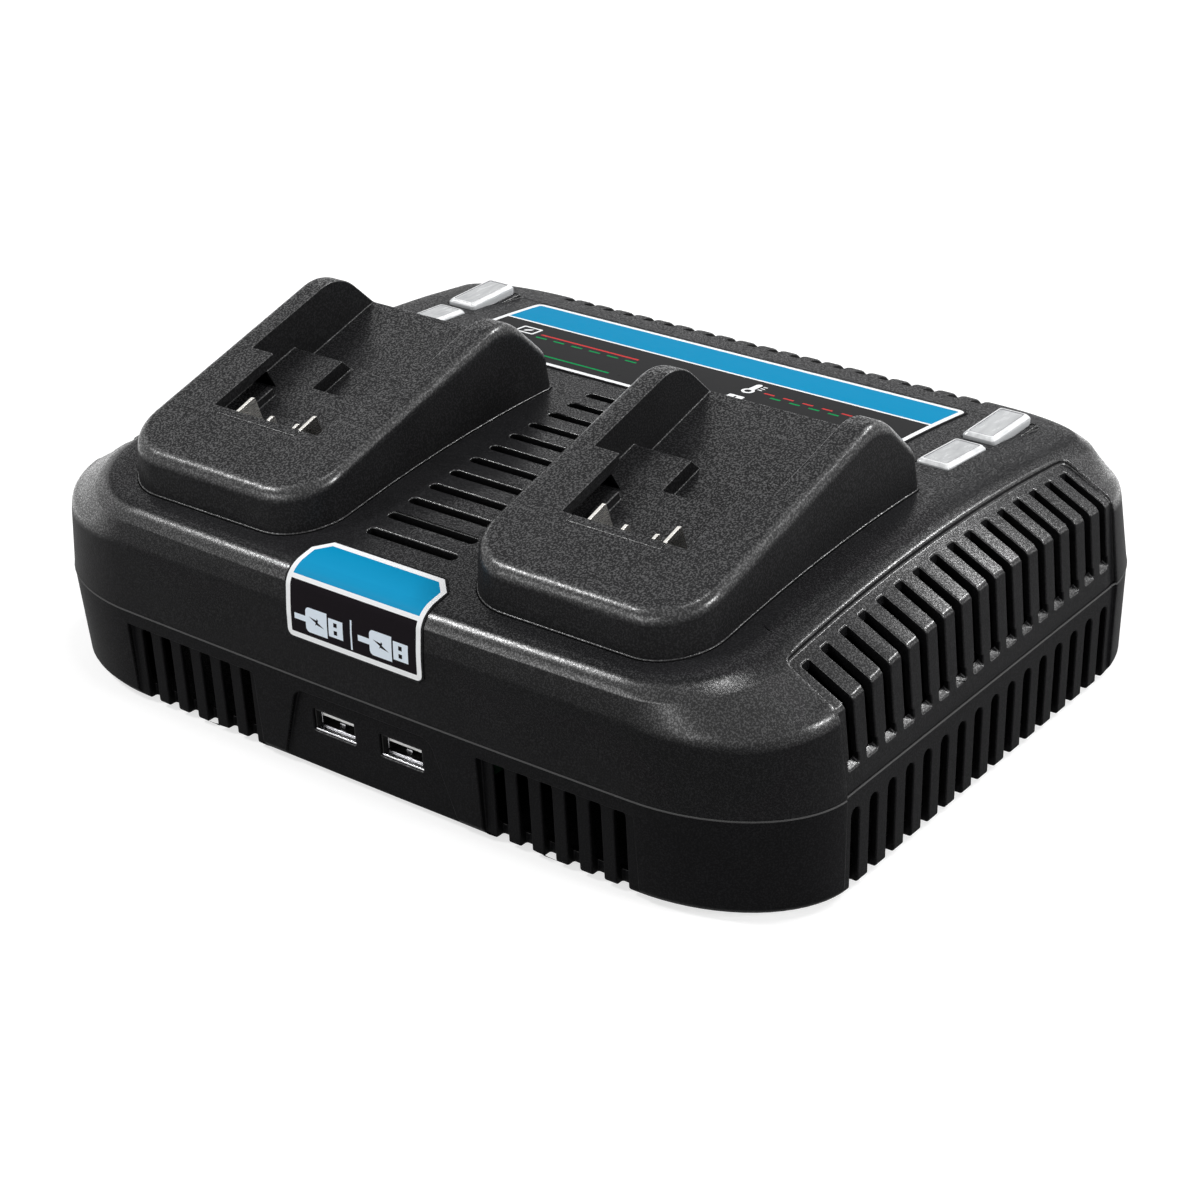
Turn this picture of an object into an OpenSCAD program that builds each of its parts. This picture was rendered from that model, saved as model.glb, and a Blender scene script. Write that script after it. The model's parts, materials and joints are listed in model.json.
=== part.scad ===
/* [Body] */
// Overall width at the parting line
body_w = 239; // [232:1:256]
// Overall depth at the parting line
body_d = 177.4; // [174:0.2:196]
// Height of the parting line between the two housings
parting_z = 26.7; // [25:0.1:32]
// Height of the crest of the arched top
crest_z = 63.2; // [61:0.1:72]
// Distance of the crest behind the middle of the body
crest_y = 1.3; // [-6:0.1:10]
// Radius of the arch, front to rear
arch_r = 460; // [380:10:900]
// Bow of the front wall
front_bow = 1.4; // [0.4:0.1:3]
// Wall thickness of both housings
wall = 2.5; // [2:0.1:2.8]
// Corner radius of the body at the front, across
corner_rx = 39; // [34:0.5:44]
// Corner radius of the body at the front, along
corner_ry = 27; // [22:0.5:32]
// Corner radius of the body at the rear
corner_rear = 34; // [28:0.5:38]
// Lean of the cover's side walls over their height
side_lean = 1.9; // [0.5:0.1:3]
// Depth of the shoulder below the arch at its outer edge
shoulder_drop = 10.2; // [8:0.1:12]
// Width of the shoulder from the plateau to its outer edge
shoulder_w = 19; // [16:0.5:22]
// Height of the rubber feet below the lower housing
foot_h = 1.2; // [0.8:0.1:3]

/* [Vents] */
// Slots in each side
side_slots = 16; // [8:1:17]
// Pitch of the side slots
side_pitch = 7.39; // [7:0.05:7.6]
// Width of a side slot
side_slot_w = 3; // [2:0.1:3.6]
// Height of the side slots' lower end above the parting line
side_slot_rise = 6.9; // [4:0.1:9]
// Depth of the recessed panel around the side slots
panel_depth = 0.8; // [0.4:0.1:1.2]
// Slots between the docks
mid_slots = 12; // [6:1:12]
// Pitch of the slots between the docks
mid_pitch = 7.47; // [6:0.01:7.6]
// Width of a slot between the docks
mid_slot_w = 2.5; // [1.5:0.1:3.5]
// Slots over the rear edge
rear_slots = 20; // [10:1:22]
// Pitch of the rear slots
rear_pitch = 7.08; // [6:0.01:7.4]
// Width of a rear slot
rear_slot_w = 3.2; // [2:0.1:4]
// Slots in each half of the base's front
front_slots = 6; // [3:1:6]
// Pitch of the base's front slots
front_pitch = 7; // [6:0.1:7.2]
// Width of a slot in the base
base_slot_w = 3.3; // [2:0.1:4]
// Distance of the base slots' upper end below the parting line
base_slot_drop = 4.6; // [3:0.1:8]

/* [Docks] */
// Distance of a dock's middle from the body's side
dock_side = 63.5; // [62:0.1:66]
// Width of a dock at its foot
dock_w = 66.9; // [63:0.1:68]
// Distance of a dock's rear before the body's rear
dock_clear = 72.9; // [70:0.1:78]
// Distance of a dock's front behind the body's front
dock_setback = 10.5; // [9:0.1:13]
// Corner radius at the front of a dock
dock_r = 15.2; // [10:0.2:20]
// Slope of the rails, in degrees
rail_slope = 14.84; // [10:0.1:18]
// Height above the feet where the rails' slopes cross
rail_top = 87.75; // [80:0.05:92]
// Distance of that crossing from the dock's rear
crest_back = 15.8; // [12:0.1:24]
// Slope of the dock behind its crest, in degrees
back_slope = 45.3; // [38:0.1:48]
// Radius of the dock's crest
crest_r = 13; // [6:0.5:14]
// Width of the channel between the rails
channel_w = 50.6; // [46:0.1:52]
// Width of the opening between the front lips
lip_gap = 35.4; // [30:0.1:40]
// Thickness of the front lips
lip_t = 3.3; // [2:0.1:4]
// Length of the front lips
lip_l = 22; // [16:0.5:28]
// Distance of the channel behind the dock's front
channel_setback = 22.3; // [20:0.1:28]
// Depth of the battery seat below the rails
seat_depth = 9.5; // [8:0.1:12]
// Depth of the rear ramp below the rails
ramp_depth = 15.4; // [12:0.1:16]
// Length of the battery seat from the channel's front to the ramp
seat_l = 36.9; // [34:0.1:40]
// Width of the latch notch in the seat
notch_w = 16.6; // [10:0.1:24]
// Length of the latch notch
notch_l = 11.6; // [8:0.1:16]
// Depth of the latch notch's floor below the rails
notch_depth = 13.6; // [11:0.1:15]
// Thickness of a charging blade
blade_t = 0.9; // [0.6:0.1:1.2]

/* [Ports] */
// Distance between the two ports
port_pitch = 21.6; // [19:0.1:24]
// Width of a port's steel shell
port_w = 13.1; // [12.6:0.1:13.6]
// Height of a port's steel shell
port_h = 5.8; // [5.2:0.1:6.4]
// Height of the ports' middle above the feet
port_z = 14.9; // [13.4:0.1:17]
// Depth of the recess around the ports
recess_depth = 1.8; // [1:0.1:2.4]
// Width of the recess at its top
recess_top_w = 45; // [42:0.5:48]
// Width of the recess at the body's bottom edge
recess_low_w = 57; // [50:0.5:60]

/* [Indicators] */
// Width of an indicator lens
lens_w = 9.4; // [7:0.1:11]
// Length of an indicator lens
lens_l = 18.4; // [14:0.1:20]
// Distance of the lenses' middle from the body's side
lens_side = 35.3; // [33:0.1:38]
// Distance of the front lenses' middle from the body's rear
lens_back = 51.5; // [48:0.1:54]
// Gap between a front and a rear lens
lens_gap = 3; // [2:0.1:5]

/* [Inside] */
// Height of the circuit boards' underside
board_z = 9; // [8:0.1:10]
// Thickness of the circuit boards
board_t = 1.6; // [1:0.1:2]
// Diameter of the power cord that the gland holds
cord_d = 7.6; // [6:0.1:9]
// Width of the transformer's core
core_w = 42; // [34:1:46]
// Depth of the transformer's core
core_l = 34; // [28:1:38]
// Height of the transformer's core
core_h = 30; // [24:1:32]
// Diameter of a bulk capacitor
cap_d = 18; // [12:1:20]
// Height of a bulk capacitor
cap_h = 30; // [20:1:32]
// Height of the heat sinks
sink_h = 26; // [18:1:30]
// Depth of a heat sink's fins
sink_w = 12; // [8:1:13]
// Outer diameter of the line choke
choke_d = 26; // [18:1:28]

/* [Hidden] */

eps = 0.01;
half_w = body_w / 2;
front_y = -body_d / 2 + front_bow;
rear_y = body_d / 2;
base_z = foot_h;
floor_z = base_z + wall;
corner_steps = 6;
side_steps = 7;
front_steps = 3;

black = [0.09, 0.09, 0.095];
dock_black = [0.11, 0.11, 0.115];
board_green = [0.05, 0.3, 0.12];
steel = [0.78, 0.78, 0.8];

// ---- outlines and lofts -------------------------------------------------

// Height of the arched top at the place y
function arch(y) = crest_z - arch_r + sqrt(arch_r * arch_r - pow(y - crest_y, 2));

function arc(cx, cy, rx, ry, a0, a1, n) =
    [for (i = [0:n]) let(a = a0 + (a1 - a0) * i / n) [cx + rx * cos(a), cy + ry * sin(a)]];

// Places between two ends, both ends left out
function between(a, b, n) = [for (i = [1:n - 1]) a + (b - a) * i / n];

// Right half of a rounded outline, from the middle of the front to the middle of the rear
function half_outline(w, f, b, rx, ry, rrx, rry, ys, bow, n) = concat(
    bow == 0 ? [] : [for (x = between(0, w - rx, front_steps)) [x, f - bow * (1 - pow(x / w, 2))]],
    [for (p = arc(w - rx, f + ry, rx, ry, -90, 0, n)) [p[0], p[1] - bow * (1 - pow(p[0] / w, 2))]],
    [for (y = ys) [w, y]],
    arc(w - rrx, b - rry, rrx, rry, 0, 90, n));

function both_halves(right) = concat(right,
    [for (i = [len(right) - 1:-1:0]) [-right[i][0], right[i][1], right[i][2]]]);

// Closed solid through rings of equal length, each symmetric about x = 0
module loft(rings) {
    n = len(rings[0]);
    top = (len(rings) - 1) * n;
    points = [for (ring = rings) each ring];
    sides = [for (k = [0:len(rings) - 2], i = [0:n - 1]) let(j = (i + 1) % n)
        each [[k * n + i, (k + 1) * n + i, (k + 1) * n + j],
              [k * n + i, (k + 1) * n + j, k * n + j]]];
    caps = [for (i = [0:n / 2 - 2])
        each [[i, i + 1, n - 2 - i, n - 1 - i],
              [top + n - 1 - i, top + n - 2 - i, top + i + 1, top + i]]];
    polyhedron(points, concat(sides, caps), convexity = 6);
}

// Ring of the body: inset from the parting outline at the side, the front and the rear
function body_ring(side, front, rear, round, z, drop, e) =
    let(w = half_w - side - e, f = front_y + front + e, b = rear_y - rear - e,
        rx = corner_rx - round - e, ry = corner_ry - round / 8 - e,
        rrx = corner_rear - round * 0.45 - e, rry = corner_rear - round * 1.5 - e,
        ys = between(f + ry, b - rry, side_steps))
    both_halves([for (p = half_outline(w, f, b, rx, ry, rrx, rry, ys, front_bow, corner_steps))
        [p[0], p[1], drop == undef ? z : arch(p[1]) - drop - e]]);

// The plateau's edge, the shoulder's slope and the shoulder's outer edge, from drop to inset
edge_x = side_lean + shoulder_w;
function slope_x(drop) = edge_x - shoulder_w * drop / shoulder_drop;

// Outer form of the cover, inset by e; low is the height of its bottom ring
module cover_form(e = 0, low = parting_z) {
    loft([
        body_ring(0, 0, 0, 0, low, undef, e),
        body_ring(side_lean, 0.5, 1.7, 1, 0, shoulder_drop + 1.6, e),
        body_ring(side_lean + 1, 0.6, 1.9, 2, 0, shoulder_drop, e),
        body_ring(side_lean + 2.8, 0.7, 2.4, 4, 0, shoulder_drop - 1.2, e),
        body_ring(slope_x(3), 1, 5.2, 13, 0, 3, e),
        body_ring(slope_x(1.5), 1.6, 6.6, 14, 0, 1.5, e),
        body_ring(slope_x(0.5) + 0.3, 2.7, 8, 15, 0, 0.45, e),
        body_ring(slope_x(0) + 3, 4.6, 10.4, 16, 0, 0, e)]);
}

// Inside of the cover, with fewer rings
module cover_cavity() {
    loft([
        body_ring(0, 0, 0, 0, parting_z - 1, undef, wall),
        body_ring(side_lean + 1, 0.6, 1.9, 2, 0, shoulder_drop + 0.4, wall),
        body_ring(slope_x(1.5), 1.6, 6.6, 14, 0, 1.5, wall),
        body_ring(slope_x(0) + 3, 4.6, 10.4, 16, 0, 0.2, wall)]);
}

// ---- places of the docks ------------------------------------------------

dock_x = half_w - dock_side;
dock_hw = dock_w / 2;
dock_front = -body_d / 2 + dock_setback;
dock_rear = rear_y - dock_clear;
peak_y = dock_rear - crest_back;
channel_front = dock_front + channel_setback;
lip_end = channel_front + lip_l;
ramp_start = channel_front + seat_l;
channel_hw = channel_w / 2;
strip_w = 26.4;
strip_l = 2.4;
strip_x = -1.1;
well_l = 9;
seat_slant = 4.8;

// Plane of the rails, before its crest
function rail_z(y) = rail_top + (y - peak_y) * tan(rail_slope);

// Round of the crest: its two ends and its middle
crest_t = crest_r * tan((rail_slope + back_slope) / 2);
crest_y0 = peak_y - crest_t * cos(rail_slope);
crest_y1 = peak_y + crest_t * cos(back_slope);
crest_cy = crest_y0 + crest_r * sin(rail_slope);
crest_cz = rail_z(crest_y0) - crest_r * cos(rail_slope);

// Top of a dock: the rails' plane, the round crest and the slope behind it
function dock_top(y) =
    y < crest_y0 ? rail_z(y)
    : y > crest_y1 ? rail_top - (y - peak_y) * tan(back_slope)
    : crest_cz + sqrt(pow(crest_r, 2) - pow(y - crest_cy, 2));

function dock_ys(f, b) = concat(between(f, crest_y0, 3),
    [for (i = [0:7]) crest_y0 + (crest_y1 - crest_y0) * i / 7], between(crest_y1, b, 3));

// Ring of a dock: inset on all sides, at a drop below its top or on the arch
function dock_ring(inset, drop, on_arch, steps = 5) =
    let(w = dock_hw - inset, f = dock_front + inset, b = dock_rear - inset,
        r = dock_r - inset, rr = max(3 - inset, 0.6))
    both_halves([for (p = half_outline(w, f, b, r, r, rr, rr, dock_ys(f + r, b - rr), 0, steps))
        [p[0], p[1], on_arch ? arch(p[1]) + drop : dock_top(p[1]) - drop]]);

// ---- housings -----------------------------------------------------------

side_y0 = -(side_slots - 1) / 2 * side_pitch - 1.3;
mid_y0 = dock_front + 12.3;
mid_end = dock_x - dock_hw - 8.65;
rear_x0 = -(rear_slots - 1) / 2 * rear_pitch;
front_x0 = recess_low_w / 2 + 12.1;
post_x = half_w - 24;
post_y = [front_y + 21, rear_y - 24];
post_r = 4.2;
pilot_r = 1.5;

// Closed L-shaped cutter for one side slot, over the shoulder and down the wall
module side_slot(y) {
    inner = half_w - slope_x(3.6);
    outer = half_w + 2;
    top = arch(y);
    low = parting_z + side_slot_rise;
    translate([0, y + side_slot_w / 2, 0]) rotate([90, 0, 0])
        linear_extrude(side_slot_w) polygon([
            [inner, top + 1], [outer, top + 1], [outer, low],
            [half_w - side_lean - wall - 2.5, low],
            [half_w - side_lean - wall - 2.5, top - shoulder_drop - wall - 2],
            [inner, top - 6.5 - wall]]);
}

// Shallow panel around the side slots, cut to an even depth
module side_panel() {
    inner = half_w - slope_x(2.4);
    y0 = side_y0 - 3.8;
    length = (side_slots - 1) * side_pitch + 8.6;
    intersection() {
        difference() {
            cover_form(-1);
            cover_form(panel_depth);
        }
        translate([inner, y0, parting_z + side_slot_rise - 3])
            cube([half_w, length, crest_z]);
    }
}

// Rounded slot through the top, across the body
module top_slot(y, half_length) {
    end_r = mid_slot_w / 2;
    translate([0, y, arch(y) - wall - 2]) linear_extrude(wall + 4) union() {
        square([2 * (half_length - end_r), mid_slot_w], center = true);
        for (s = [-1, 1]) translate([s * (half_length - end_r), 0])
            circle(end_r, $fn = 12);
    }
}

// Slot over the rear edge and down the rear wall
module rear_slot(x) {
    top = arch(rear_y);
    translate([x - rear_slot_w / 2, 0, 0]) rotate([90, 0, 90])
        linear_extrude(rear_slot_w) polygon([
            [rear_y - 11, top + 3], [rear_y + 2, top + 3],
            [rear_y + 2, parting_z + side_slot_rise],
            [rear_y - 6, parting_z + side_slot_rise],
            [rear_y - 6, top - 6], [rear_y - 11, top - 3]]);
}

module at_docks() {
    for (s = [-1, 1]) translate([s * dock_x, 0, 0]) children();
}

// Opening of the cover that a dock passes through
module dock_opening() {
    loft([
        dock_ring(-0.15, -wall - 3, true),
        dock_ring(-0.15, 1, true)]);
}

// Black wedge that carries a rear lens level on the falling surface
module lens_wedge(s) {
    y0 = lens_y + lens_l / 2 + 1;
    y1 = y0 + lens_l + 2.4;
    z1 = lens_seat_z - eps;
    translate([s * lens_x - lens_w / 2 - 1.8, 0, 0]) rotate([90, 0, 90])
        linear_extrude(lens_w + 3.6) polygon([
            [y0, arch(y0) - 1.5], [y1, arch(y1) - 1.5],
            [y1, arch(y1) + 1], [y1 - 1.4, z1], [y0 + 1.2, z1]]);
}

module upper_housing() {
    color(black) difference() {
        union() {
            difference() {
                union() {
                    cover_form();
                    for (s = [-1, 1]) lens_wedge(s);
                }
                cover_cavity();
                for (s = [0, 1]) mirror([s, 0, 0]) side_panel();
            }
            // Screw posts under the cover
            for (x = [-post_x, post_x], y = post_y)
                translate([x, y, parting_z])
                    cylinder(h = arch(y) - wall / 2 - parting_z, r = post_r, $fn = 24);
            // Posts for the indicator boards
            for (s = [-1, 1], t = [-1, 1])
                let(y = led_y + t * led_post_y, z = led_z + board_t)
                    translate([s * lens_x, y, z]) cylinder(h = arch(y) - wall / 2 - z, r = 2.4, $fn = 16);
        }
        at_docks() dock_opening();
        for (i = [0:side_slots - 1], s = [0, 1])
            mirror([s, 0, 0]) side_slot(side_y0 + i * side_pitch);
        for (i = [0:mid_slots - 1])
            top_slot(mid_y0 + i * mid_pitch, mid_end - 1.7 * i / mid_slots);
        for (i = [0:rear_slots - 1]) rear_slot(rear_x0 + i * rear_pitch);
        for (x = [-post_x, post_x], y = post_y)
            translate([x, y, parting_z - 1]) cylinder(h = 15, r = pilot_r, $fn = 16);
        for (s = [-1, 1], k = [0, 1]) lens_pocket(s, k);
    }
}

// Outer form of the base
module base_form(e = 0, low = base_z, high = parting_z) {
    loft([
        body_ring(2.2, 2.2, 2.2, 1, low, undef, e),
        body_ring(0.9, 0.9, 0.9, 0.5, low + 1.8, undef, e),
        body_ring(0, 0, 0, 0, high, undef, e)]);
}

recess_drop = 3.9;
recess_r = 4;

// Trapezoid recess around the ports
module port_recess() {
    top = parting_z - recess_drop;
    translate([0, -body_d / 2 + recess_depth, 0]) rotate([90, 0, 0])
        linear_extrude(10) polygon(concat(
            [[-recess_low_w / 2, base_z - 1], [recess_low_w / 2, base_z - 1]],
            arc(recess_top_w / 2 - recess_r, top - recess_r, recess_r, recess_r, 15, 90, 4),
            arc(-recess_top_w / 2 + recess_r, top - recess_r, recess_r, recess_r, 90, 165, 4)));
}

// Open-bottomed slot of the base, cut along +Y from the outer face at y = 0
module base_slot() {
    top = parting_z - base_slot_drop;
    r = base_slot_w / 2;
    translate([0, 8.5, 0]) rotate([90, 0, 0]) linear_extrude(12) polygon(concat(
        [[-r, base_z - 1], [r, base_z - 1]], arc(0, top - r, r, r, 0, 180, 4)));
}

gland_x = -72;
gland_z = 14.5;
gland_r = cord_d / 2 + 2.4;
gland_sink = 0.9;
gland_rim = 1.2;
gland_neck = wall + 1.2;
screw_seat = 8;
screw_head = [3, 2.4];
board_screw_r = 1.2;
board_screw_head = [2.6, 2];

module lower_housing() {
    boss_top = board_z;
    color(black) difference() {
        union() {
            difference() {
                base_form();
                loft([
                    body_ring(2.6, 2.6, 2.6, 1, floor_z, undef, wall),
                    body_ring(0.9, 0.9, 0.9, 0.5, floor_z + 2.4, undef, wall),
                    body_ring(0, 0, 0, 0, parting_z + 1, undef, wall)]);
            }
            for (x = [-post_x, post_x], y = post_y)
                translate([x, y, floor_z - 1]) cylinder(h = parting_z - floor_z + 1, r = post_r, $fn = 24);
            for (p = main_holes)
                translate([p[0], p[1], floor_z - 1]) cylinder(h = boss_top - floor_z + 1, r = 3.4, $fn = 20);
            for (p = usb_holes)
                translate([p[0], p[1], floor_z - 1]) cylinder(h = boss_top - floor_z + 1, r = 3, $fn = 20);
            // Thickened wall behind the ports' recess
            translate([-recess_low_w / 2 - 3, -body_d / 2 + wall - 0.4, base_z + 0.6])
                cube([recess_low_w + 6, recess_depth + 0.4, parting_z - base_z - 0.6]);
        }
        port_recess();
        for (s = [-1, 1]) translate([s * port_pitch / 2, -body_d / 2, port_z])
            cube([port_w + 0.3, 20, port_h + 0.3], center = true);
        for (s = [-1, 1], i = [0:front_slots - 1])
            translate([s * (front_x0 + i * front_pitch), -body_d / 2 + 0.6, 0]) base_slot();
        for (i = [0:side_slots - 1], s = [-1, 1])
            translate([s * half_w, side_y0 + i * side_pitch, 0]) rotate([0, 0, s * 90]) base_slot();
        for (s = [-1, 1]) translate([s * (front_x0 + (front_slots - 1) / 2 * front_pitch), 0, 0])
            front_panel();
        // Screw wells from below, and the gland's hole
        for (x = [-post_x, post_x], y = post_y) translate([x, y, 0]) {
            cylinder(h = parting_z + 1, r = 2.1, $fn = 20);
            cylinder(h = parting_z - screw_seat, r = screw_head[0] + 0.2, $fn = 20);
        }
        for (p = concat(main_holes, usb_holes))
            translate([p[0], p[1], floor_z - 0.5]) cylinder(h = 10, r = board_screw_r, $fn = 16);
        translate([gland_x, rear_y + 1, gland_z]) rotate([90, 0, 0]) {
            cylinder(h = wall + 10, r = gland_r + 0.1, $fn = 32);
            cylinder(h = 1 + gland_sink + gland_rim + 0.05, r = gland_r + 2.1, $fn = 32);
        }
    }
}

// Shallow panel around a group of front slots
module front_panel() {
    w = (front_slots - 1) * front_pitch + 10;
    top = parting_z - base_slot_drop + 0.6;
    translate([-w / 2, -body_d / 2 - 5, base_z - 1])
        cube([w, 5 + front_bow + 0.9, top - base_z + 1]);
}

// ---- docks --------------------------------------------------------------

// Prism across the dock from a side profile
module across(w, profile) {
    translate([-w / 2, 0, 0]) rotate([90, 0, 90]) linear_extrude(w) polygon(profile);
}

// Space of the channel, grown by g into the body for the tray's walls
module channel(g = 0) {
    open_z = rail_top + 8;
    rear = dock_rear + 8 - g;
    function seat(y) = rail_z(y) - seat_depth - g;
    function ramp(y) = rail_z(y) - ramp_depth - g;
    function notch(y) = rail_z(y) - notch_depth - g;
    foot = ramp_start + seat_slant - g;
    notch_y = ramp_start - notch_l - g;
    under = rail_z(lip_end) - (g > 0 ? 0 : lip_t);
    // Wide part between the rails, behind the lips
    across(channel_w + 2 * g, [
        [lip_end - g, seat(lip_end)], [ramp_start - g, seat(ramp_start)],
        [foot, ramp(foot)], [rear, ramp(rear)],
        [rear, open_z], [lip_end - g, open_z]]);
    // Opening between the lips
    across(lip_gap + 2 * g, [
        [channel_front - g, seat(channel_front)], [lip_end, seat(lip_end)],
        [lip_end, open_z], [channel_front - g, open_z]]);
    // Grooves under the lips, with a lead-in at their rear
    across(channel_w + 2 * g, [
        [channel_front - g, seat(channel_front)], [lip_end + 1, seat(lip_end + 1)],
        [lip_end + 1, under + 1.4], [lip_end - 3.3, under - 3.3 * tan(rail_slope)],
        [channel_front - g, under - (lip_l + g) * tan(rail_slope)]]);
    // Latch notch in the rear of the seat
    across(notch_w + 2 * g, [
        [notch_y, notch(notch_y)], [foot, notch(foot)],
        [foot, seat(foot) + 1], [notch_y, seat(notch_y) + 1]]);
}

// Room of the terminal block: the strip in the front plate and the floor under the blades
module block_room(c = 0) {
    y0 = channel_front - strip_l - c;
    y1 = channel_front + well_l + c;
    // Strip at the front, up to the rails' plane
    translate([strip_x, 0, 0]) across(strip_w + 2 * c, [
        [y0, rail_z(y0) - seat_depth - 6], [channel_front, rail_z(channel_front) - seat_depth - 6],
        [channel_front, rail_z(channel_front) + c], [y0, rail_z(y0) + c]]);
    // Floor part, level with the battery seat
    translate([strip_x, 0, 0]) across(strip_w + 2 * c, [
        [channel_front - eps, rail_z(channel_front) - seat_depth - 6],
        [y1, rail_z(channel_front) - seat_depth - 6],
        [y1, rail_z(y1) - seat_depth], [channel_front - eps, rail_z(channel_front) - seat_depth]]);
}

module dock_body() {
    wall_d = 2.4;
    inner_drop = wall_d + 0.4;
    difference() {
        union() {
            loft([
                dock_ring(0, -wall - 2.2, true),
                dock_ring(0, 0, true),
                dock_ring(0.7, 3.6, false),
                dock_ring(1, 1.9, false),
                dock_ring(1.9, 0.6, false),
                dock_ring(3.8, 0, false)]);
            // Flange under the cover's plate
            loft([
                dock_ring(-3, -wall - 2.2, true),
                dock_ring(-3, -wall - 0.35, true)]);
        }
        difference() {
            loft([
                dock_ring(wall_d, -wall - 4, true),
                dock_ring(wall_d + 0.6, inner_drop + 2, false),
                dock_ring(wall_d + 2.6, inner_drop, false)]);
            channel(wall_d);
            // Walls that hold the terminal block
            translate([strip_x - strip_w / 2 - 2, channel_front - strip_l - 2, arch(0) - 8])
                cube([strip_w + 4, well_l + strip_l + 4, 40]);
        }
        channel();
        block_room(0.1);
    }
    // Low guide ribs along the seat
    rib_y0 = channel_front + well_l + 0.3;
    rib_y1 = lip_end - 3.5;
    function rib(y, up) = [y, rail_z(y) - seat_depth + up];
    for (s = [-1, 1]) translate([s * (lip_gap / 2 - 1), 0, 0])
        across(2, [rib(rib_y0, -1), rib(rib_y1 + 1, -1), rib(rib_y1, 2.4), rib(rib_y0, 2.4)]);
}

blade_xs = [-10.7, -4.4, 4.4, 10.7];

// Charging blades: two tall ones outside, two short signal blades inside
module blade_set() {
    for (x = blade_xs) {
        tall = abs(x) > 6;
        y0 = channel_front - 1;
        y1 = channel_front + 7.1;
        rear = y1 + (tall ? 1.9 : 0.9);
        front = tall ? y0 + 1.3 : y1 - 2.6;
        seat = rail_z(channel_front) - seat_depth;
        top = tall ? 1 : 4.6;
        translate([x, 0, 0]) across(blade_t, [
            [y0, seat - 5], [rear, seat - 5], [rear, rail_z(y1) - seat_depth + 2],
            [y1, rail_z(y1) - top - 0.2], [y1 - 0.6, rail_z(y1) - top],
            [front, rail_z(front) - top], [front, seat - 1], [y0, seat - 2.6]]);
    }
}

module terminal_block() {
    difference() {
        block_room();
        blade_set();
        translate([strip_x, 0, 0]) across(strip_w - 3, [
            [channel_front - 1, rail_z(channel_front) - seat_depth + 0.5],
            [channel_front + 1, rail_z(channel_front) - seat_depth + 0.5],
            [channel_front + 1, rail_z(channel_front) - 2.4],
            [channel_front - 1, rail_z(channel_front) - 2.4]]);
    }
}

module battery_dock_left() { color(dock_black) translate([-dock_x, 0, 0]) dock_body(); }
module battery_dock_right() { color(dock_black) translate([dock_x, 0, 0]) dock_body(); }
module terminal_block_left() { color(black) translate([-dock_x, 0, 0]) terminal_block(); }
module terminal_block_right() { color(black) translate([dock_x, 0, 0]) terminal_block(); }
module terminal_blades_left() { color(steel) translate([-dock_x, 0, 0]) blade_set(); }
module terminal_blades_right() { color(steel) translate([dock_x, 0, 0]) blade_set(); }

// ---- ports --------------------------------------------------------------

port_face = -body_d / 2 + recess_depth + 0.4;
port_l = 14;
port_t = 0.4;
port_low = port_z - port_h / 2;

module usb_shell(x) {
    color(steel) translate([x, port_face, port_z]) difference() {
        translate([-port_w / 2, 0, -port_h / 2]) cube([port_w, port_l, port_h]);
        translate([-port_w / 2 + port_t, -1, -port_h / 2 + port_t])
            cube([port_w - 2 * port_t, port_l - 1, port_h - 2 * port_t]);
    }
}

module usb_tongue(x) {
    color([0.93, 0.93, 0.92]) translate([x, port_face, port_z]) {
        translate([-port_w / 2 + 1, 1, 0.1]) cube([port_w - 2, port_l - 3, 1.9]);
        translate([-port_w / 2 + port_t, port_l - 3, -port_h / 2 + port_t])
            cube([port_w - 2 * port_t, 1, port_h - 2 * port_t]);
    }
}

module usb_shell_left() { usb_shell(-port_pitch / 2); }
module usb_shell_right() { usb_shell(port_pitch / 2); }
module usb_tongue_left() { usb_tongue(-port_pitch / 2); }
module usb_tongue_right() { usb_tongue(port_pitch / 2); }

usb_board_z = port_low - board_t;
usb_y0 = port_face + 2;
usb_l = 26;
usb_holes = [for (x = [-24, 24]) [x, usb_y0 + usb_l - 5]];

module usb_board() {
    color(board_green) difference() {
        translate([-29, usb_y0, board_z]) cube([58, usb_l, usb_board_z + board_t - board_z]);
        for (p = usb_holes) translate([p[0], p[1], 0]) cylinder(h = 60, r = 1.6, $fn = 16);
    }
}

// ---- labels -------------------------------------------------------------

label_t = 0.3;
front_label_w = 43.2;
front_label_z = parting_z + 10.8;
front_label_reach = 13.6;
rear_label_side = 49;
rear_label_l = 41.4;
rear_label_back = 21.7;
rear_label_y = [rear_y - rear_label_back - rear_label_l, rear_y - rear_label_back];

// Thin skin on the cover, kept inside its child's prism
module skin() {
    intersection() {
        difference() {
            cover_form(-label_t);
            cover_form();
        }
        children();
    }
}

module front_label() {
    hw = front_label_w / 2;
    y0 = front_y - 10;
    y1 = front_y + front_label_reach;
    cut = 4;
    color([0.04, 0.5, 0.75]) skin() translate([0, 0, front_label_z]) linear_extrude(40)
        polygon([[-hw, y0], [hw, y0], [hw, y1 - cut], [hw - cut, y1], [-hw + cut, y1], [-hw, y1 - cut]]);
}

module rear_label() {
    hw = half_w - rear_label_side;
    y0 = rear_label_y[0];
    y1 = rear_label_y[1];
    cut0 = 6;
    cut1 = 3;
    color([0.25, 0.25, 0.26]) skin() translate([0, 0, parting_z + 14]) linear_extrude(50)
        polygon([[-hw + cut0, y0], [hw - cut0, y0], [hw, y0 + cut0], [hw, y1 - cut1], [hw - cut1, y1],
            [-hw + cut1, y1], [-hw, y1 - cut1], [-hw, y0 + cut0]]);
}

// ---- indicators ---------------------------------------------------------

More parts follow.
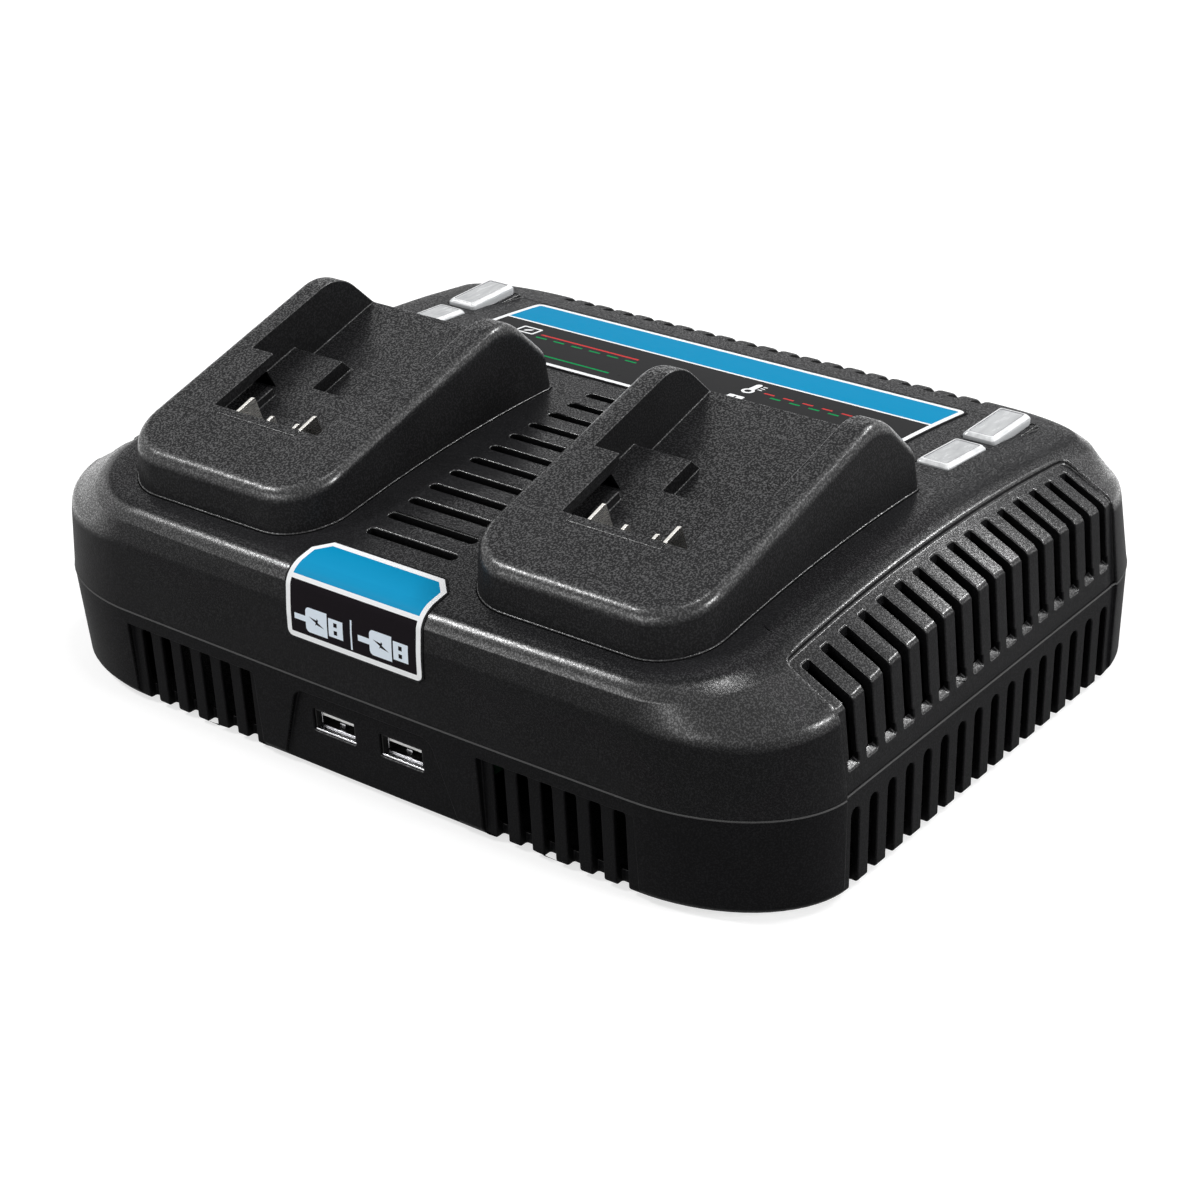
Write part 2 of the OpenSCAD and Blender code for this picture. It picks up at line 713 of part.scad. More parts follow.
lens_t = 3;
lens_x = half_w - lens_side;
lens_y = rear_y - lens_back;
lens_rear_y = lens_y + lens_l + lens_gap;
lens_slope = atan((lens_y - crest_y) / arch_r);
lens_seat_z = arch(lens_rear_y - lens_l / 2) - 1;
led_y = (lens_y + lens_rear_y) / 2;
led_z = arch(lens_rear_y + lens_l / 2) - 12;
led_post_y = lens_l + 2;

// Bevelled lens block, its underside at z = 0
module lens_block(grow = 0, h = lens_t) {
    w = lens_w / 2 + grow;
    l = lens_l / 2 + grow;
    b = grow > 0 ? 0.01 : 1;
    function ring(i, z) = [[w - i, -l + i, z], [w - i, l - i, z], [-w + i, l - i, z], [-w + i, -l + i, z]];
    points = concat(ring(0, 0), ring(0, h - b), ring(b, h));
    faces = [[0, 1, 2, 3], [11, 10, 9, 8],
        for (k = [0, 4], i = [0:3]) [k + i, k + 4 + i, k + 4 + (i + 1) % 4, k + (i + 1) % 4]];
    polyhedron(points, faces);
}

// Places a lens: k = 0 is the front one, tilted with the surface, k = 1 the level rear one
module at_lens(s, k) {
    translate([s * lens_x, k == 0 ? lens_y : lens_rear_y, k == 0 ? arch(lens_y) - 2.2 : lens_seat_z - 1])
        rotate([k == 0 ? -lens_slope : 0, 0, 0]) children();
}

module lens_pocket(s, k) {
    at_lens(s, k) translate([0, 0, -0.05]) lens_block(0.1, 12);
    // Light window through the plate
    at_lens(s, k) translate([0, 0, -4]) cube([lens_w - 3, lens_l - 3, 12], center = true);
}

module lens(s, k) { color([0.85, 0.86, 0.87]) at_lens(s, k) lens_block(); }
module lens_left_front() { lens(-1, 0); }
module lens_left_rear() { lens(-1, 1); }
module lens_right_front() { lens(1, 0); }
module lens_right_rear() { lens(1, 1); }

module led_board(s) {
    color(board_green) translate([s * lens_x, led_y, led_z]) {
        translate([-8, -led_post_y - 4, 0]) cube([16, 2 * led_post_y + 8, board_t]);
        for (t = [-1, 1], u = [-1, 1])
            translate([u * 2.4, t * (lens_l + lens_gap) / 2, board_t]) cylinder(h = 3, r = 1.5, $fn = 16);
    }
}

module led_board_left() { led_board(-1); }
module led_board_right() { led_board(1); }

// ---- electronics --------------------------------------------------------

main_y0 = usb_y0 + usb_l + 3;
main_y1 = rear_y - 18;
main_hw = half_w - 32;
main_holes = [for (x = [-main_hw + 5, main_hw - 5], y = [main_y0 + 5, main_y1 - 5]) [x, y]];
main_top = board_z + board_t;

module main_board() {
    color(board_green) difference() {
        translate([-main_hw, main_y0, board_z]) cube([2 * main_hw, main_y1 - main_y0, board_t]);
        for (p = main_holes) translate([p[0], p[1], 0]) cylinder(h = 60, r = 1.6, $fn = 16);
    }
}

core_x = -main_hw * 0.1;
core_y = (main_y0 + main_y1) / 2 + 18;
leg = core_w * 0.28;
window = core_w * 0.22;
yoke = core_h * 0.2;

module transformer_core() {
    color([0.2, 0.2, 0.21]) translate([core_x, core_y, main_top]) difference() {
        translate([-core_w / 2, -core_l / 2, 0]) cube([core_w, core_l, core_h]);
        for (s = [-1, 1]) translate([s * (leg + window) / 2 - window / 2, -core_l, yoke])
            cube([window, 2 * core_l, core_h - 2 * yoke]);
    }
}

module transformer_winding() {
    w = leg + 2 * window - 0.2;
    l = core_l + 16;
    color([0.75, 0.55, 0.15]) translate([core_x, core_y, main_top + yoke]) difference() {
        translate([-w / 2, -l / 2, 0.1]) cube([w, l, core_h - 2 * yoke - 0.2]);
        translate([-leg / 2, -core_l / 2, -1]) cube([leg, core_l, core_h]);
    }
}

module bulk_capacitors() {
    color([0.12, 0.13, 0.2]) for (i = [0, 1])
        translate([sink_xs[0] + cap_d * (0.7 + 1.25 * i), core_y - core_l - cap_d / 4, main_top])
            cylinder(h = cap_h, r = cap_d / 2, $fn = 32);
}

sink_plate = 3;
sink_fin = 2;
sink_l = core_l + 8;
sink_y = core_y - sink_l / 2;
sink_xs = [-main_hw + 15.5, core_x + core_w / 2 + 25];

// Extruded aluminium comb, its base plate to the left
module heat_sink(x, fins) {
    color(steel) translate([x, sink_y, main_top]) {
        cube([sink_plate, sink_l, sink_h]);
        for (i = [0:fins - 1])
            translate([sink_plate - 0.5, i * (sink_l - sink_fin) / (fins - 1), 0])
                cube([sink_w + 0.5, sink_fin, sink_h]);
    }
}

module primary_heat_sink() { heat_sink(sink_xs[0], 7); }
module secondary_heat_sink() { heat_sink(sink_xs[1], 8); }

// Two transistors against each heat sink's plate, each on one broad lead
module power_transistors() {
    body = [4.5, 10, 15];
    lead = 4;
    color([0.1, 0.1, 0.1]) for (x = sink_xs, k = [0.1, 0.6])
        translate([x - body[0] - 0.1, sink_y + sink_l * k, main_top]) {
            translate([0, 0, lead]) cube(body);
            translate([body[0] / 2 - 0.5, body[1] / 2 - 0.5, 0]) cube([1, 1, lead + 0.1]);
        }
}

module line_choke() {
    r = choke_d / 2;
    color([0.6, 0.35, 0.12]) translate([main_hw - r - 6, core_y - core_l / 2 - r - 10, main_top])
        rotate_extrude($fn = 40) translate([r * 0.46, 0]) square([r * 0.54, r]);
}

// Ceramic fuse held in two clips at the right rear of the board
module line_fuse() {
    r = 2.6;
    l = 20;
    clip = 4;
    h = r + 0.6;
    color([0.85, 0.85, 0.8]) translate([main_hw - l - 14, main_y1 - 9, main_top + h]) rotate([0, 90, 0])
        cylinder(h = l, r = r, $fn = 24);
    color(steel) for (x = [0, l - clip])
        translate([main_hw - l - 14 + x, main_y1 - 9 - h, main_top]) difference() {
            cube([clip, 2 * h, h + 3.4]);
            translate([-1, h, h]) rotate([0, 90, 0]) cylinder(h = clip + 2, r = r, $fn = 24);
        }
}

// Bushing in the rear wall: a sunk outer rim, a neck through the wall and an inner rim
module cord_gland() {
    color(black) translate([gland_x, rear_y - gland_sink, gland_z]) rotate([90, 0, 0]) difference() {
        union() {
            cylinder(h = gland_rim, r = gland_r + 2, $fn = 32);
            cylinder(h = gland_neck, r = gland_r, $fn = 32);
            translate([0, 0, gland_neck]) cylinder(h = 3, r = gland_r + 2, $fn = 32);
        }
        translate([0, 0, -1]) cylinder(h = gland_neck + 6, r = cord_d / 2, $fn = 32);
    }
}

module screw(h, r, head_r, head_h) {
    cylinder(h = head_h, r = head_r, $fn = 20);
    cylinder(h = h, r = r, $fn = 16);
}

module housing_screws() {
    color(steel) for (x = [-post_x, post_x], y = post_y)
        translate([x, y, parting_z - screw_seat - screw_head[1]])
            screw(20, pilot_r, screw_head[0], screw_head[1]);
}

module board_screws() {
    usb_top = usb_board_z + board_t;
    color(steel) for (p = concat([for (p = main_holes) [p[0], p[1], main_top]],
            [for (p = usb_holes) [p[0], p[1], usb_top]]))
        translate([p[0], p[1], p[2] + board_screw_head[1]]) mirror([0, 0, 1])
            screw(6.5, board_screw_r, board_screw_head[0], board_screw_head[1]);
}

foot_x = half_w - 46;
foot_y = [front_y + 20, rear_y - 22];
foot_r = 7;

module rubber_feet() {
    color([0.06, 0.06, 0.06]) for (x = [-foot_x, foot_x], y = foot_y)
        translate([x, y, 0]) cylinder(h = foot_h, r = foot_r, $fn = 32);
}

lower_housing();
upper_housing();
battery_dock_left();
battery_dock_right();
terminal_block_left();
terminal_block_right();
terminal_blades_left();
terminal_blades_right();
usb_shell_left();
usb_shell_right();
usb_tongue_left();
usb_tongue_right();
usb_board();
main_board();
front_label();
rear_label();
lens_left_front();
lens_left_rear();
lens_right_front();
lens_right_rear();
led_board_left();
led_board_right();
transformer_core();
transformer_winding();
bulk_capacitors();
primary_heat_sink();
secondary_heat_sink();
power_transistors();
line_choke();
line_fuse();
cord_gland();
housing_screws();
board_screws();
rubber_feet();
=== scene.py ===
"""Dressed model of a two-bay charger for slide-on tool batteries, with two charging outlets."""

import json
import math
from contextlib import contextmanager

import bmesh
import bpy
import numpy as np
from mathutils import Matrix, Vector


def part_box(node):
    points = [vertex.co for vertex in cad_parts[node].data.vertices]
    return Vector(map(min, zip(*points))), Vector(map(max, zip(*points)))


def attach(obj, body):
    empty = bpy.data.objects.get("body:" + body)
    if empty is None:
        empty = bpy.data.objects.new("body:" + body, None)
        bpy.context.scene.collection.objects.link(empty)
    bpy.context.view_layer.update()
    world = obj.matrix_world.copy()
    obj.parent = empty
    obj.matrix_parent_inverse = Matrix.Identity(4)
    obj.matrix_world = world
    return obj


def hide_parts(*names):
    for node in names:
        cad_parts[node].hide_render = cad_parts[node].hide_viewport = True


bl_info = {
    "name": "Battery Charger",
    "version": (1, 0, 0),
    "blender": (4, 5, 0),
    "location": "View3D > Sidebar > Charger",
    "description": "Builds a two-bay battery charger piece by piece",
    "category": "Add Mesh",
}

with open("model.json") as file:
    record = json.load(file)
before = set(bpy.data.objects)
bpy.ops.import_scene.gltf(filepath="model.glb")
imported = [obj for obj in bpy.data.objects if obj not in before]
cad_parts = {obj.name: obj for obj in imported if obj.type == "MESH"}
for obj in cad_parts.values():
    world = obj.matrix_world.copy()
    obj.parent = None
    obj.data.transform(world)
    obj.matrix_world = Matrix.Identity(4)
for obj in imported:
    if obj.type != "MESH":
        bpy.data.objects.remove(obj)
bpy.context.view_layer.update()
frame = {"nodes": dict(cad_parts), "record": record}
MM = 0.001


# ---- sizes and colours that a user would change --------------------------

def length(name, description, default, low=0.0, high=1.0):
    """Property for a length, in metres"""
    return bpy.props.FloatProperty(name=name, description=description, default=default,
                                   min=low, max=high, unit="LENGTH", precision=4)


def colour(name, description, default):
    """Property for a colour"""
    return bpy.props.FloatVectorProperty(name=name, description=description, default=default,
                                         size=3, min=0.0, max=1.0, subtype="COLOR")


class ChargerShape(bpy.types.PropertyGroup):
    """Sizes of the housing, the docks and the openings"""
    width: length("Width", "Width of the body at the parting line",
                  round(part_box("upper_housing")[1].x * 2, 4), 0.2, 0.3)
    depth: length("Depth", "Depth of the body at the parting line",
                  round(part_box("upper_housing")[1].y * 2, 4), 0.15, 0.22)
    parting: length("Parting height", "Height of the line between cover and base",
                    round(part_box("upper_housing")[0].z, 4), 0.02, 0.04)
    wall: length("Wall", "Wall thickness of the housing", 0.0025, 0.001, 0.004)
    cover_edge: length("Cover edge", "Width of the small bevel on the cover's edges", 0.00038, 0.0001, 0.001)
    dock_edge: length("Dock edge", "Width of the small bevel on the docks' edges", 0.00035, 0.0001, 0.001)
    lens_bevel: length("Lens bevel", "Width of the sloping border of a lens", 0.0013, 0.0005, 0.002)
    film: length("Label film", "Height of the label film above the cover", 0.0003, 0.0001, 0.0003)


class ChargerFinish(bpy.types.PropertyGroup):
    """Colours and grain of the mouldings and the labels"""
    cover_black: colour("Cover", "Colour of the cover", (0.0065, 0.0065, 0.007))
    base_black: colour("Base", "Colour of the base", (0.0045, 0.0045, 0.005))
    dock_black: colour("Docks", "Colour of the battery docks", (0.012, 0.012, 0.0126))
    cover_grain: length("Cover grain", "Cell size of the cover's moulded grain", 0.0004, 0.0002, 0.003)
    dock_grain: length("Dock grain", "Cell size of the docks' coarser grain", 0.00048, 0.0002, 0.004)
    label_blue: colour("Label blue", "Blue band of both labels", (0.003, 0.245, 0.46))
    label_grey: colour("Label grey", "Dark field of the rear label", (0.027, 0.027, 0.028))
    label_red: colour("Label red", "Red lines of the rear label", (0.55, 0.045, 0.045))
    label_green: colour("Label green", "Green lines of the rear label", (0.0, 0.27, 0.075))


# ---- measures, in millimetres --------------------------------------------

# Slots along both sides, the sunk panel around them and the sills under them
SIDE_SLOTS, SIDE_PITCH, SIDE_SLOT_W, SIDE_RISE = 16, 7.39, 3.0, 6.9
SIDE_Y0 = -(SIDE_SLOTS - 1) / 2 * SIDE_PITCH - 1.3
PANEL_Y0, PANEL_Y1 = SIDE_Y0 - 4.4, SIDE_Y0 + (SIDE_SLOTS - 1) * SIDE_PITCH + 4.8
PANEL_T, PANEL_R = 0.8, 2.0
SILL_IN, SILL_RISE, SILL_TAN, FLARE = 1.6, 0.9, 0.83, 0.6
# Slots between the docks, over the rear edge, and in the front and sides of the base
MID_SLOTS, MID_PITCH, MID_SLOT_W, MID_Y0, MID_CLEAR, MID_TAPER = 12, 7.47, 2.5, -65.9, 8.65, 1.7
REAR_SLOTS, REAR_PITCH, REAR_SLOT_W, REAR_REACH, REAR_DEEP = 20, 7.08, 3.2, 12.6, 6.0
FRONT_SLOTS, FRONT_PITCH, FRONT_X0, FRONT_SLOT_DEEP = 6, 7.0, 40.6, 9.8
BASE_SLOT_W, BASE_DROP, BASE_SLOT_DEEP = 3.3, 4.6, 4.2
# Docks: outline, slopes of rails and back, and the battery's channel
DOCK_X, DOCK_HALF, DOCK_FRONT, DOCK_REAR, DOCK_R = 56.0, 33.45, -78.2, 15.8, 15.2
RAIL_TAN, BACK_TAN = math.tan(math.radians(14.84)), math.tan(math.radians(45.3))
RAIL_TOP, CREST_R = 87.75, 13.0
CHANNEL_FRONT, LIP_END, RAMP_START = -55.9, -33.9, -19.0
CHANNEL_HALF, LIP_HALF, LIP_T, NOTCH_HALF, NOTCH_L = 25.3, 17.7, 3.3, 8.3, 11.6
SEAT_DEPTH, RAMP_DEPTH, NOTCH_DEPTH = 9.5, 15.4, 13.6
STRIP_X, STRIP_W, STRIP_L, WELL_L = -1.1, 26.4, 2.4, 9.0
# Lenses, outlets, cord gland and screws
LENS_W, LENS_L, LENS_T, LENS_X, LENS_Y, LENS_REAR_Y = 9.4, 18.4, 3.0, 84.2, 37.2, 58.6
PORT_X, PORT_Z, PORT_W, PORT_H, PORT_GAP = 10.8, 14.9, 13.1, 5.8, 0.15
RECESS_HALF, RECESS_TOP_HALF, RECESS_DROP, RECESS_R = 28.5, 18.5, 3.9, 4.0
GLAND_X, GLAND_Z, GLAND_RIM_R, GLAND_HOLE_R = -72.0, 14.5, 8.3, 6.3
SCREW_SIDE, SCREW_FRONT, SCREW_REAR, BOSS_R, BOSS_H, WELL_R = 24, 21, 24, 5.4, 6.0, 3.2
# Labels: edges on the cover, the front one's cut corners, and the width of the clear edge and the border
FRONT_HALF, FRONT_LOW, FRONT_REACH, FRONT_CUT = 21.7, 37.6, -73.5, 4.2
REAR_HALF, REAR_Y0, REAR_Y1, REAR_X = 70.6, 25.4, 66.9, 0.8
LABEL_R, CLEAR_EDGE, BORDER = 2.5, 0.5, 1.9

LEAD = 9  # points of an outline from its middle to where the front corner starts
OUTSIDE = -95.0  # a place in front of the whole body, where tools that cut its front start
SIDES = ((-1, "left"), (1, "right"))


def xyz(x, y, z):
    """Array of points from three coordinates, each spread over the rows and columns of the others"""
    return np.stack(np.broadcast_arrays(x, y, z), -1)


class Body:
    """Outline of the housing and the arched top, in millimetres, from the user's sizes"""
    crest_z, crest_y, arch_r, bow = 63.2, 1.3, 460.0, 1.4
    corner_rx, corner_ry, corner_rear = 39.0, 27.0, 34.0
    side_lean, shoulder_drop, shoulder_w = 1.9, 10.2, 19.0

    def __init__(self, shape):
        self.half_w = shape.width / MM / 2
        self.rear = shape.depth / MM / 2
        self.front = -self.rear + self.bow
        self.parting = shape.parting / MM
        self.wall = shape.wall / MM
        self.base = 1.2

    def arch(self, y):
        """Height of the top: a circle of radius arch_r about a middle far below the crest"""
        return self.crest_z - self.arch_r + np.sqrt(self.arch_r ** 2 - (y - self.crest_y) ** 2)

    def slope_x(self, drop):
        """Inset of the shoulder's slope from the side, at a drop below the top"""
        return self.side_lean + self.shoulder_w * (1 - drop / self.shoulder_drop)

    def ring(self, side, front, rear, rounding, drop=None, z=0.0, grow=0.0, bow=None, fine=True, lines=None):
        """Right half of a ring: a rounded outline, inset by side, front and rear, then level at z or at a
        drop below the arch; its corners tighten by shares of the rounding"""
        bow = self.bow if bow is None else bow
        w, f, b = self.half_w - side - grow, self.front + front + grow, self.rear - rear - grow
        rx, ry = self.corner_rx - rounding - grow, self.corner_ry - rounding / 8 - grow
        rrx, rry = self.corner_rear - rounding * 0.45 - grow, self.corner_rear - rounding * 1.5 - grow
        lines = SIDE_Y0 + SIDE_PITCH / 2 * np.arange(2 * SIDE_SLOTS - 1) if lines is None else lines
        x, y = half_outline(w, f, b, rx, ry, rrx, rry, lines[::1 if fine else 5], bow, 18 if fine else 8)
        return xyz(x, y, z if drop is None else self.arch(y) - drop - grow)


# ---- surfaces: a part is a pair of points and faces ----------------------

def arc(cx, cy, rx, ry, start, end, steps):
    """Points of an ellipse: centre plus radius times cosine and sine, between two angles"""
    a = np.radians(np.linspace(start, end, steps + 1))
    return np.stack([cx + rx * np.cos(a), cy + ry * np.sin(a)], 1)


def half_outline(w, f, b, rx, ry, rrx, rry, ys, bow, steps):
    """Right half of a rounded outline: front line, front corner, side and rear corner, with the front
    bowed by a parabola"""
    line = np.stack([(w - rx) * np.arange(1, LEAD) / LEAD, np.full(LEAD - 1, f)], 1)
    front = np.concatenate([line, arc(w - rx, f + ry, rx, ry, -90, 0, steps)])
    front[:, 1] -= bow * (1 - (front[:, 0] / w) ** 2)
    side = np.stack([np.full(len(ys), w), ys], 1)
    points = np.concatenate([front, side, arc(w - rrx, b - rry, rrx, rry, 0, 90, steps)])
    return points[:, 0], points[:, 1]


def corner_cut(rows, passes=3):
    """Rounds a chain of rows: each pass puts rows at one and three quarters of every chord, ends kept"""
    for _ in range(passes):
        a, b = rows[:-1], rows[1:]
        mid = np.stack([0.75 * a + 0.25 * b, 0.25 * a + 0.75 * b], 1).reshape(-1, *rows.shape[1:])
        rows = np.concatenate([rows[:1], mid, rows[-1:]])
    return rows


def bending_rows(rows, least=0.4, gap=0.5):
    """Keeps the rows where some column of the chain turns by more than the least angle, in degrees,
    and no row closer than the gap to the last one kept"""
    step = np.diff(rows, axis=0)
    unit = step / np.maximum(np.linalg.norm(step, axis=2, keepdims=True), 1e-9)
    turn = np.degrees(np.arccos(np.clip((unit[:-1] * unit[1:]).sum(2), -1, 1))).max(1)
    rows = rows[np.concatenate([[True], turn > least, [True]])]
    kept = [rows[0]]
    for row in rows[1:-1]:
        far = [np.linalg.norm(row - other, axis=1).max() for other in (kept[-1], rows[-1])]
        if min(far) > gap:
            kept.append(row)
    return np.array(kept + [rows[-1]])


def loft(rows, flat_bottom=True, flat_top=False):
    """Closed surface through mirrored half rings, low to high; an end that isn't flat is closed by
    strips across, of which the first holds the points that lie on the front line"""
    ring = np.concatenate([rows, rows[:, ::-1] * (-1, 1, 1)], 1)
    k, n = ring.shape[:2]
    i = np.arange(n)
    quad = np.stack([i, (i + 1) % n, (i + 1) % n + n, i + n], 1)
    sides = (quad[None] + n * np.arange(k - 1)[:, None, None]).reshape(-1, 4)

    def cap(base):
        j = np.arange(LEAD, n // 2 - 1)
        strips = np.stack([j, j + 1, n - 2 - j, n - 1 - j], 1) + base
        return [(np.r_[0:LEAD + 1, n - 1 - LEAD:n] + base).tolist()] + strips.tolist()

    end = (k - 1) * n
    top = [(i + end).tolist()] if flat_top else cap(end)
    bottom = [i[::-1].tolist()] if flat_bottom else [face[::-1] for face in cap(0)]
    return ring.reshape(-1, 3), sides.tolist() + top + bottom


def extrusions(profiles, shift):
    """Prisms: each closed profile of a stack is carried along one shift and closed by two ends"""
    profiles = np.asarray(profiles, float)
    if profiles.ndim == 2:
        profiles = profiles[None]
    k, m = profiles.shape[:2]
    points = np.stack([profiles, profiles + np.asarray(shift, float)], 1).reshape(-1, 3)
    i = np.arange(m)
    quad = np.stack([i, (i + 1) % m, (i + 1) % m + m, i + m], 1)
    faces = []
    for base in range(0, k * 2 * m, 2 * m):
        faces += (quad + base).tolist() + [(i[::-1] + base).tolist(), (i + m + base).tolist()]
    return points, faces


def along_x(profile, half, x=0.0):
    """Prism across the body, half to each side of x, from a profile of y and z"""
    y, z = np.asarray(profile, float).T
    return extrusions(xyz(x - half, y, z), (2 * half, 0, 0))


def along_y(profile, y, depth, places=(0.0,)):
    """Prisms from y to y plus depth, from a profile of x and z that is repeated at places along x"""
    x, z = np.asarray(profile, float).T
    return extrusions(xyz(x + np.array(places)[:, None], y, z), (0, depth, 0))


def along_z(outline, low, high):
    """Prism upward from an outline of x and y"""
    x, y = np.asarray(outline, float).T
    return extrusions(xyz(x, y, low), (0, 0, high - low))


def rectangle(x0, x1, y0, y1):
    """Corners of a rectangle, anticlockwise"""
    return [[x0, y0], [x1, y0], [x1, y1], [x0, y1]]


def bead(ring, radius, sides=8):
    """Round bead along a closed ring: each point moves out and up by the radius times cosine and sine"""
    along = np.roll(ring, -1, 0) - np.roll(ring, 1, 0)
    out = np.stack([along[:, 1], -along[:, 0]], 1) / np.linalg.norm(along[:, :2], axis=1, keepdims=True)
    a = np.arange(sides) * 2 * math.pi / sides
    points = ring[:, None] + radius * xyz(out[:, None, 0] * np.cos(a), out[:, None, 1] * np.cos(a), np.sin(a))
    i, j = np.meshgrid(np.arange(len(ring)), np.arange(sides), indexing="ij")
    at = lambda r, c: (r % len(ring)) * sides + c % sides
    faces = np.stack([at(i, j), at(i + 1, j), at(i + 1, j + 1), at(i, j + 1)], 2).reshape(-1, 4)
    return points.reshape(-1, 3), faces.tolist()


def whole(half):
    """Closed ring from its right half: the half and its mirror image in reverse order"""
    return np.concatenate([half, half[::-1] * (-1, 1, 1)])


def shifted(part, x, y, z):
    """The part, moved by a shift"""
    return part[0] + (x, y, z), part[1]


def moved(part, matrix):
    """The part, turned and moved by a matrix"""
    m = np.array(matrix)
    return part[0] @ m[:3, :3].T + m[:3, 3], part[1]


def both_sides(part):
    """A part on the right and its mirror image on the left"""
    return part, (part[0] * (-1, 1, 1), part[1])


# ---- meshes --------------------------------------------------------------

@contextmanager
def editing(mesh, source=None):
    """Edit mesh of a mesh, or of another as its source, that is written back at the end"""
    bm = bmesh.new()
    bm.from_mesh(source or mesh)
    yield bm
    bm.to_mesh(mesh)
    bm.free()


def linked(name, data):
    """Object of a mesh, lamp or camera, in the scene"""
    obj = bpy.data.objects.new(name, data)
    bpy.context.scene.collection.objects.link(obj)
    return obj


def solid(name, *parts):
    """Mesh object from parts, all faces turned outwards"""
    points, faces, start = [], [], 0
    for p, f in parts:
        points.append(p)
        faces += [[int(v) + start for v in face] for face in f]
        start += len(p)
    mesh = bpy.data.meshes.new(name)
    mesh.from_pydata(np.concatenate(points) * MM, [], faces)
    with editing(mesh) as bm:
        bmesh.ops.recalc_face_normals(bm, faces=bm.faces)
    return linked(name, mesh)


def apply_modifiers(obj):
    """Puts the evaluated mesh in place of the object's own and drops its modifiers"""
    bpy.context.view_layer.update()
    shaped = bpy.data.meshes.new_from_object(obj.evaluated_get(bpy.context.evaluated_depsgraph_get()))
    old = obj.data
    obj.modifiers.clear()
    obj.data = shaped
    shaped.name = obj.name
    bpy.data.meshes.remove(old)
    if not len(obj.data.polygons):
        raise RuntimeError(f"{obj.name} lost its faces")
    return obj


def combine(obj, tool, operation="DIFFERENCE"):
    """Cuts a tool out of a piece, or joins it on, and removes the tool"""
    modifier = obj.modifiers.new("combine", "BOOLEAN")
    modifier.operation, modifier.object, modifier.solver = operation, tool, "MANIFOLD"
    apply_modifiers(obj)
    bpy.data.objects.remove(tool)


def cut(obj, name, *parts):
    """Cuts parts out of a piece"""
    combine(obj, solid(name, *parts))


def join_near(obj, reach):
    """Joins points closer than the reach where one of them lies on a sharp edge; the second pass takes up
    the short edges that the first one leaves"""
    with editing(obj.data) as bm:
        for _ in range(2):
            bmesh.ops.dissolve_limit(bm, angle_limit=math.radians(0.1), verts=bm.verts, edges=bm.edges)
            sharp = {v for e in bm.edges if e.is_manifold and e.calc_face_angle(0) > 0.5 for v in e.verts}
            short = [e for e in bm.edges if e.calc_length() < reach and not sharp.isdisjoint(e.verts)]
            bmesh.ops.collapse(bm, edges=short)


def mend(obj):
    """Drops what a bevel left loose: lone faces, edges without a face and single points"""
    with editing(obj.data) as bm:
        lone = [f for f in bm.faces if all(e.is_boundary for e in f.edges)]
        bmesh.ops.delete(bm, geom=lone, context="FACES")
        bmesh.ops.delete(bm, geom=[e for e in bm.edges if not e.link_faces], context="EDGES")
        bmesh.ops.delete(bm, geom=[v for v in bm.verts if not v.link_faces], context="VERTS")


def soften(obj, width, angle=32):
    """Small round bevel on every edge sharper than the angle, with normals that follow the large faces"""
    join_near(obj, min(width * 0.8, 0.0003))
    bevel = obj.modifiers.new("edge", "BEVEL")
    bevel.width, bevel.segments, bevel.limit_method = width, 2, "ANGLE"
    bevel.angle_limit, bevel.use_clamp_overlap = math.radians(angle), False
    bevel.miter_outer, bevel.loop_slide = "MITER_ARC", False
    mend(apply_modifiers(obj))
    obj.data.shade_smooth()
    normals = obj.modifiers.new("normals", "WEIGHTED_NORMAL")
    normals.keep_sharp, normals.weight = True, 60
    obj.data.set_sharp_from_angle(angle=math.radians(55))
    return apply_modifiers(obj)


def refined(node, width):
    """Merged copy of a CAD node, its flat faces joined up and its edges softened"""
    mesh = bpy.data.meshes.new(node + "_piece")
    with editing(mesh, frame["nodes"][node].data) as bm:
        bmesh.ops.remove_doubles(bm, verts=bm.verts, dist=1e-6)
        bmesh.ops.dissolve_limit(bm, angle_limit=math.radians(1), verts=bm.verts, edges=bm.edges)
    return soften(linked(mesh.name, mesh), width)


def dress(obj, material, slot, *nodes):
    """Gives a finished piece its material and lets it stand for CAD nodes; the slot argument is not used"""
    obj.data.materials.clear()
    obj.data.materials.append(material)
    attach(obj, "root")
    if nodes:
        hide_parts(*nodes)


# ---- materials -----------------------------------------------------------

class Value:
    """A socket's value in a node tree; arithmetic on it adds Math nodes"""

    def __init__(self, tree, socket):
        self.tree, self.socket = tree, socket

    def math(self, operation, *others):
        """Result of a Math node on this value and others"""
        return self.tree.node("ShaderNodeMath", {"operation": operation}, self, *others)

    def __add__(self, other):
        return self.math("ADD", other)

    def __sub__(self, other):
        return self.math("SUBTRACT", other)

    def __rsub__(self, other):
        return self.tree.node("ShaderNodeMath", {"operation": "SUBTRACT"}, other, self)

    def __mul__(self, other):
        return self.math("MULTIPLY", other)

    def __mod__(self, other):
        return self.math("FLOORED_MODULO", other)

    def __lt__(self, other):
        return self.math("LESS_THAN", other)

    def __gt__(self, other):
        return self.math("GREATER_THAN", other)

    def __abs__(self):
        return self.math("ABSOLUTE")

    __radd__, __rmul__ = __add__, __mul__

    def least(self, other):
        """The smaller of two values"""
        return self.math("MINIMUM", other)

    def most(self, other):
        """The larger of two values"""
        return self.math("MAXIMUM", other)

    def span(self, low, high):
        """1 between two numbers, else 0"""
        return (self > low) * (self < high)

    def ramp(self, low, high, start=0.0, end=1.0):
        """Straight rise from start to end between two numbers, held outside them"""
        return self.tree.node("ShaderNodeMapRange", {"clamp": True}, self, low, high, start, end)


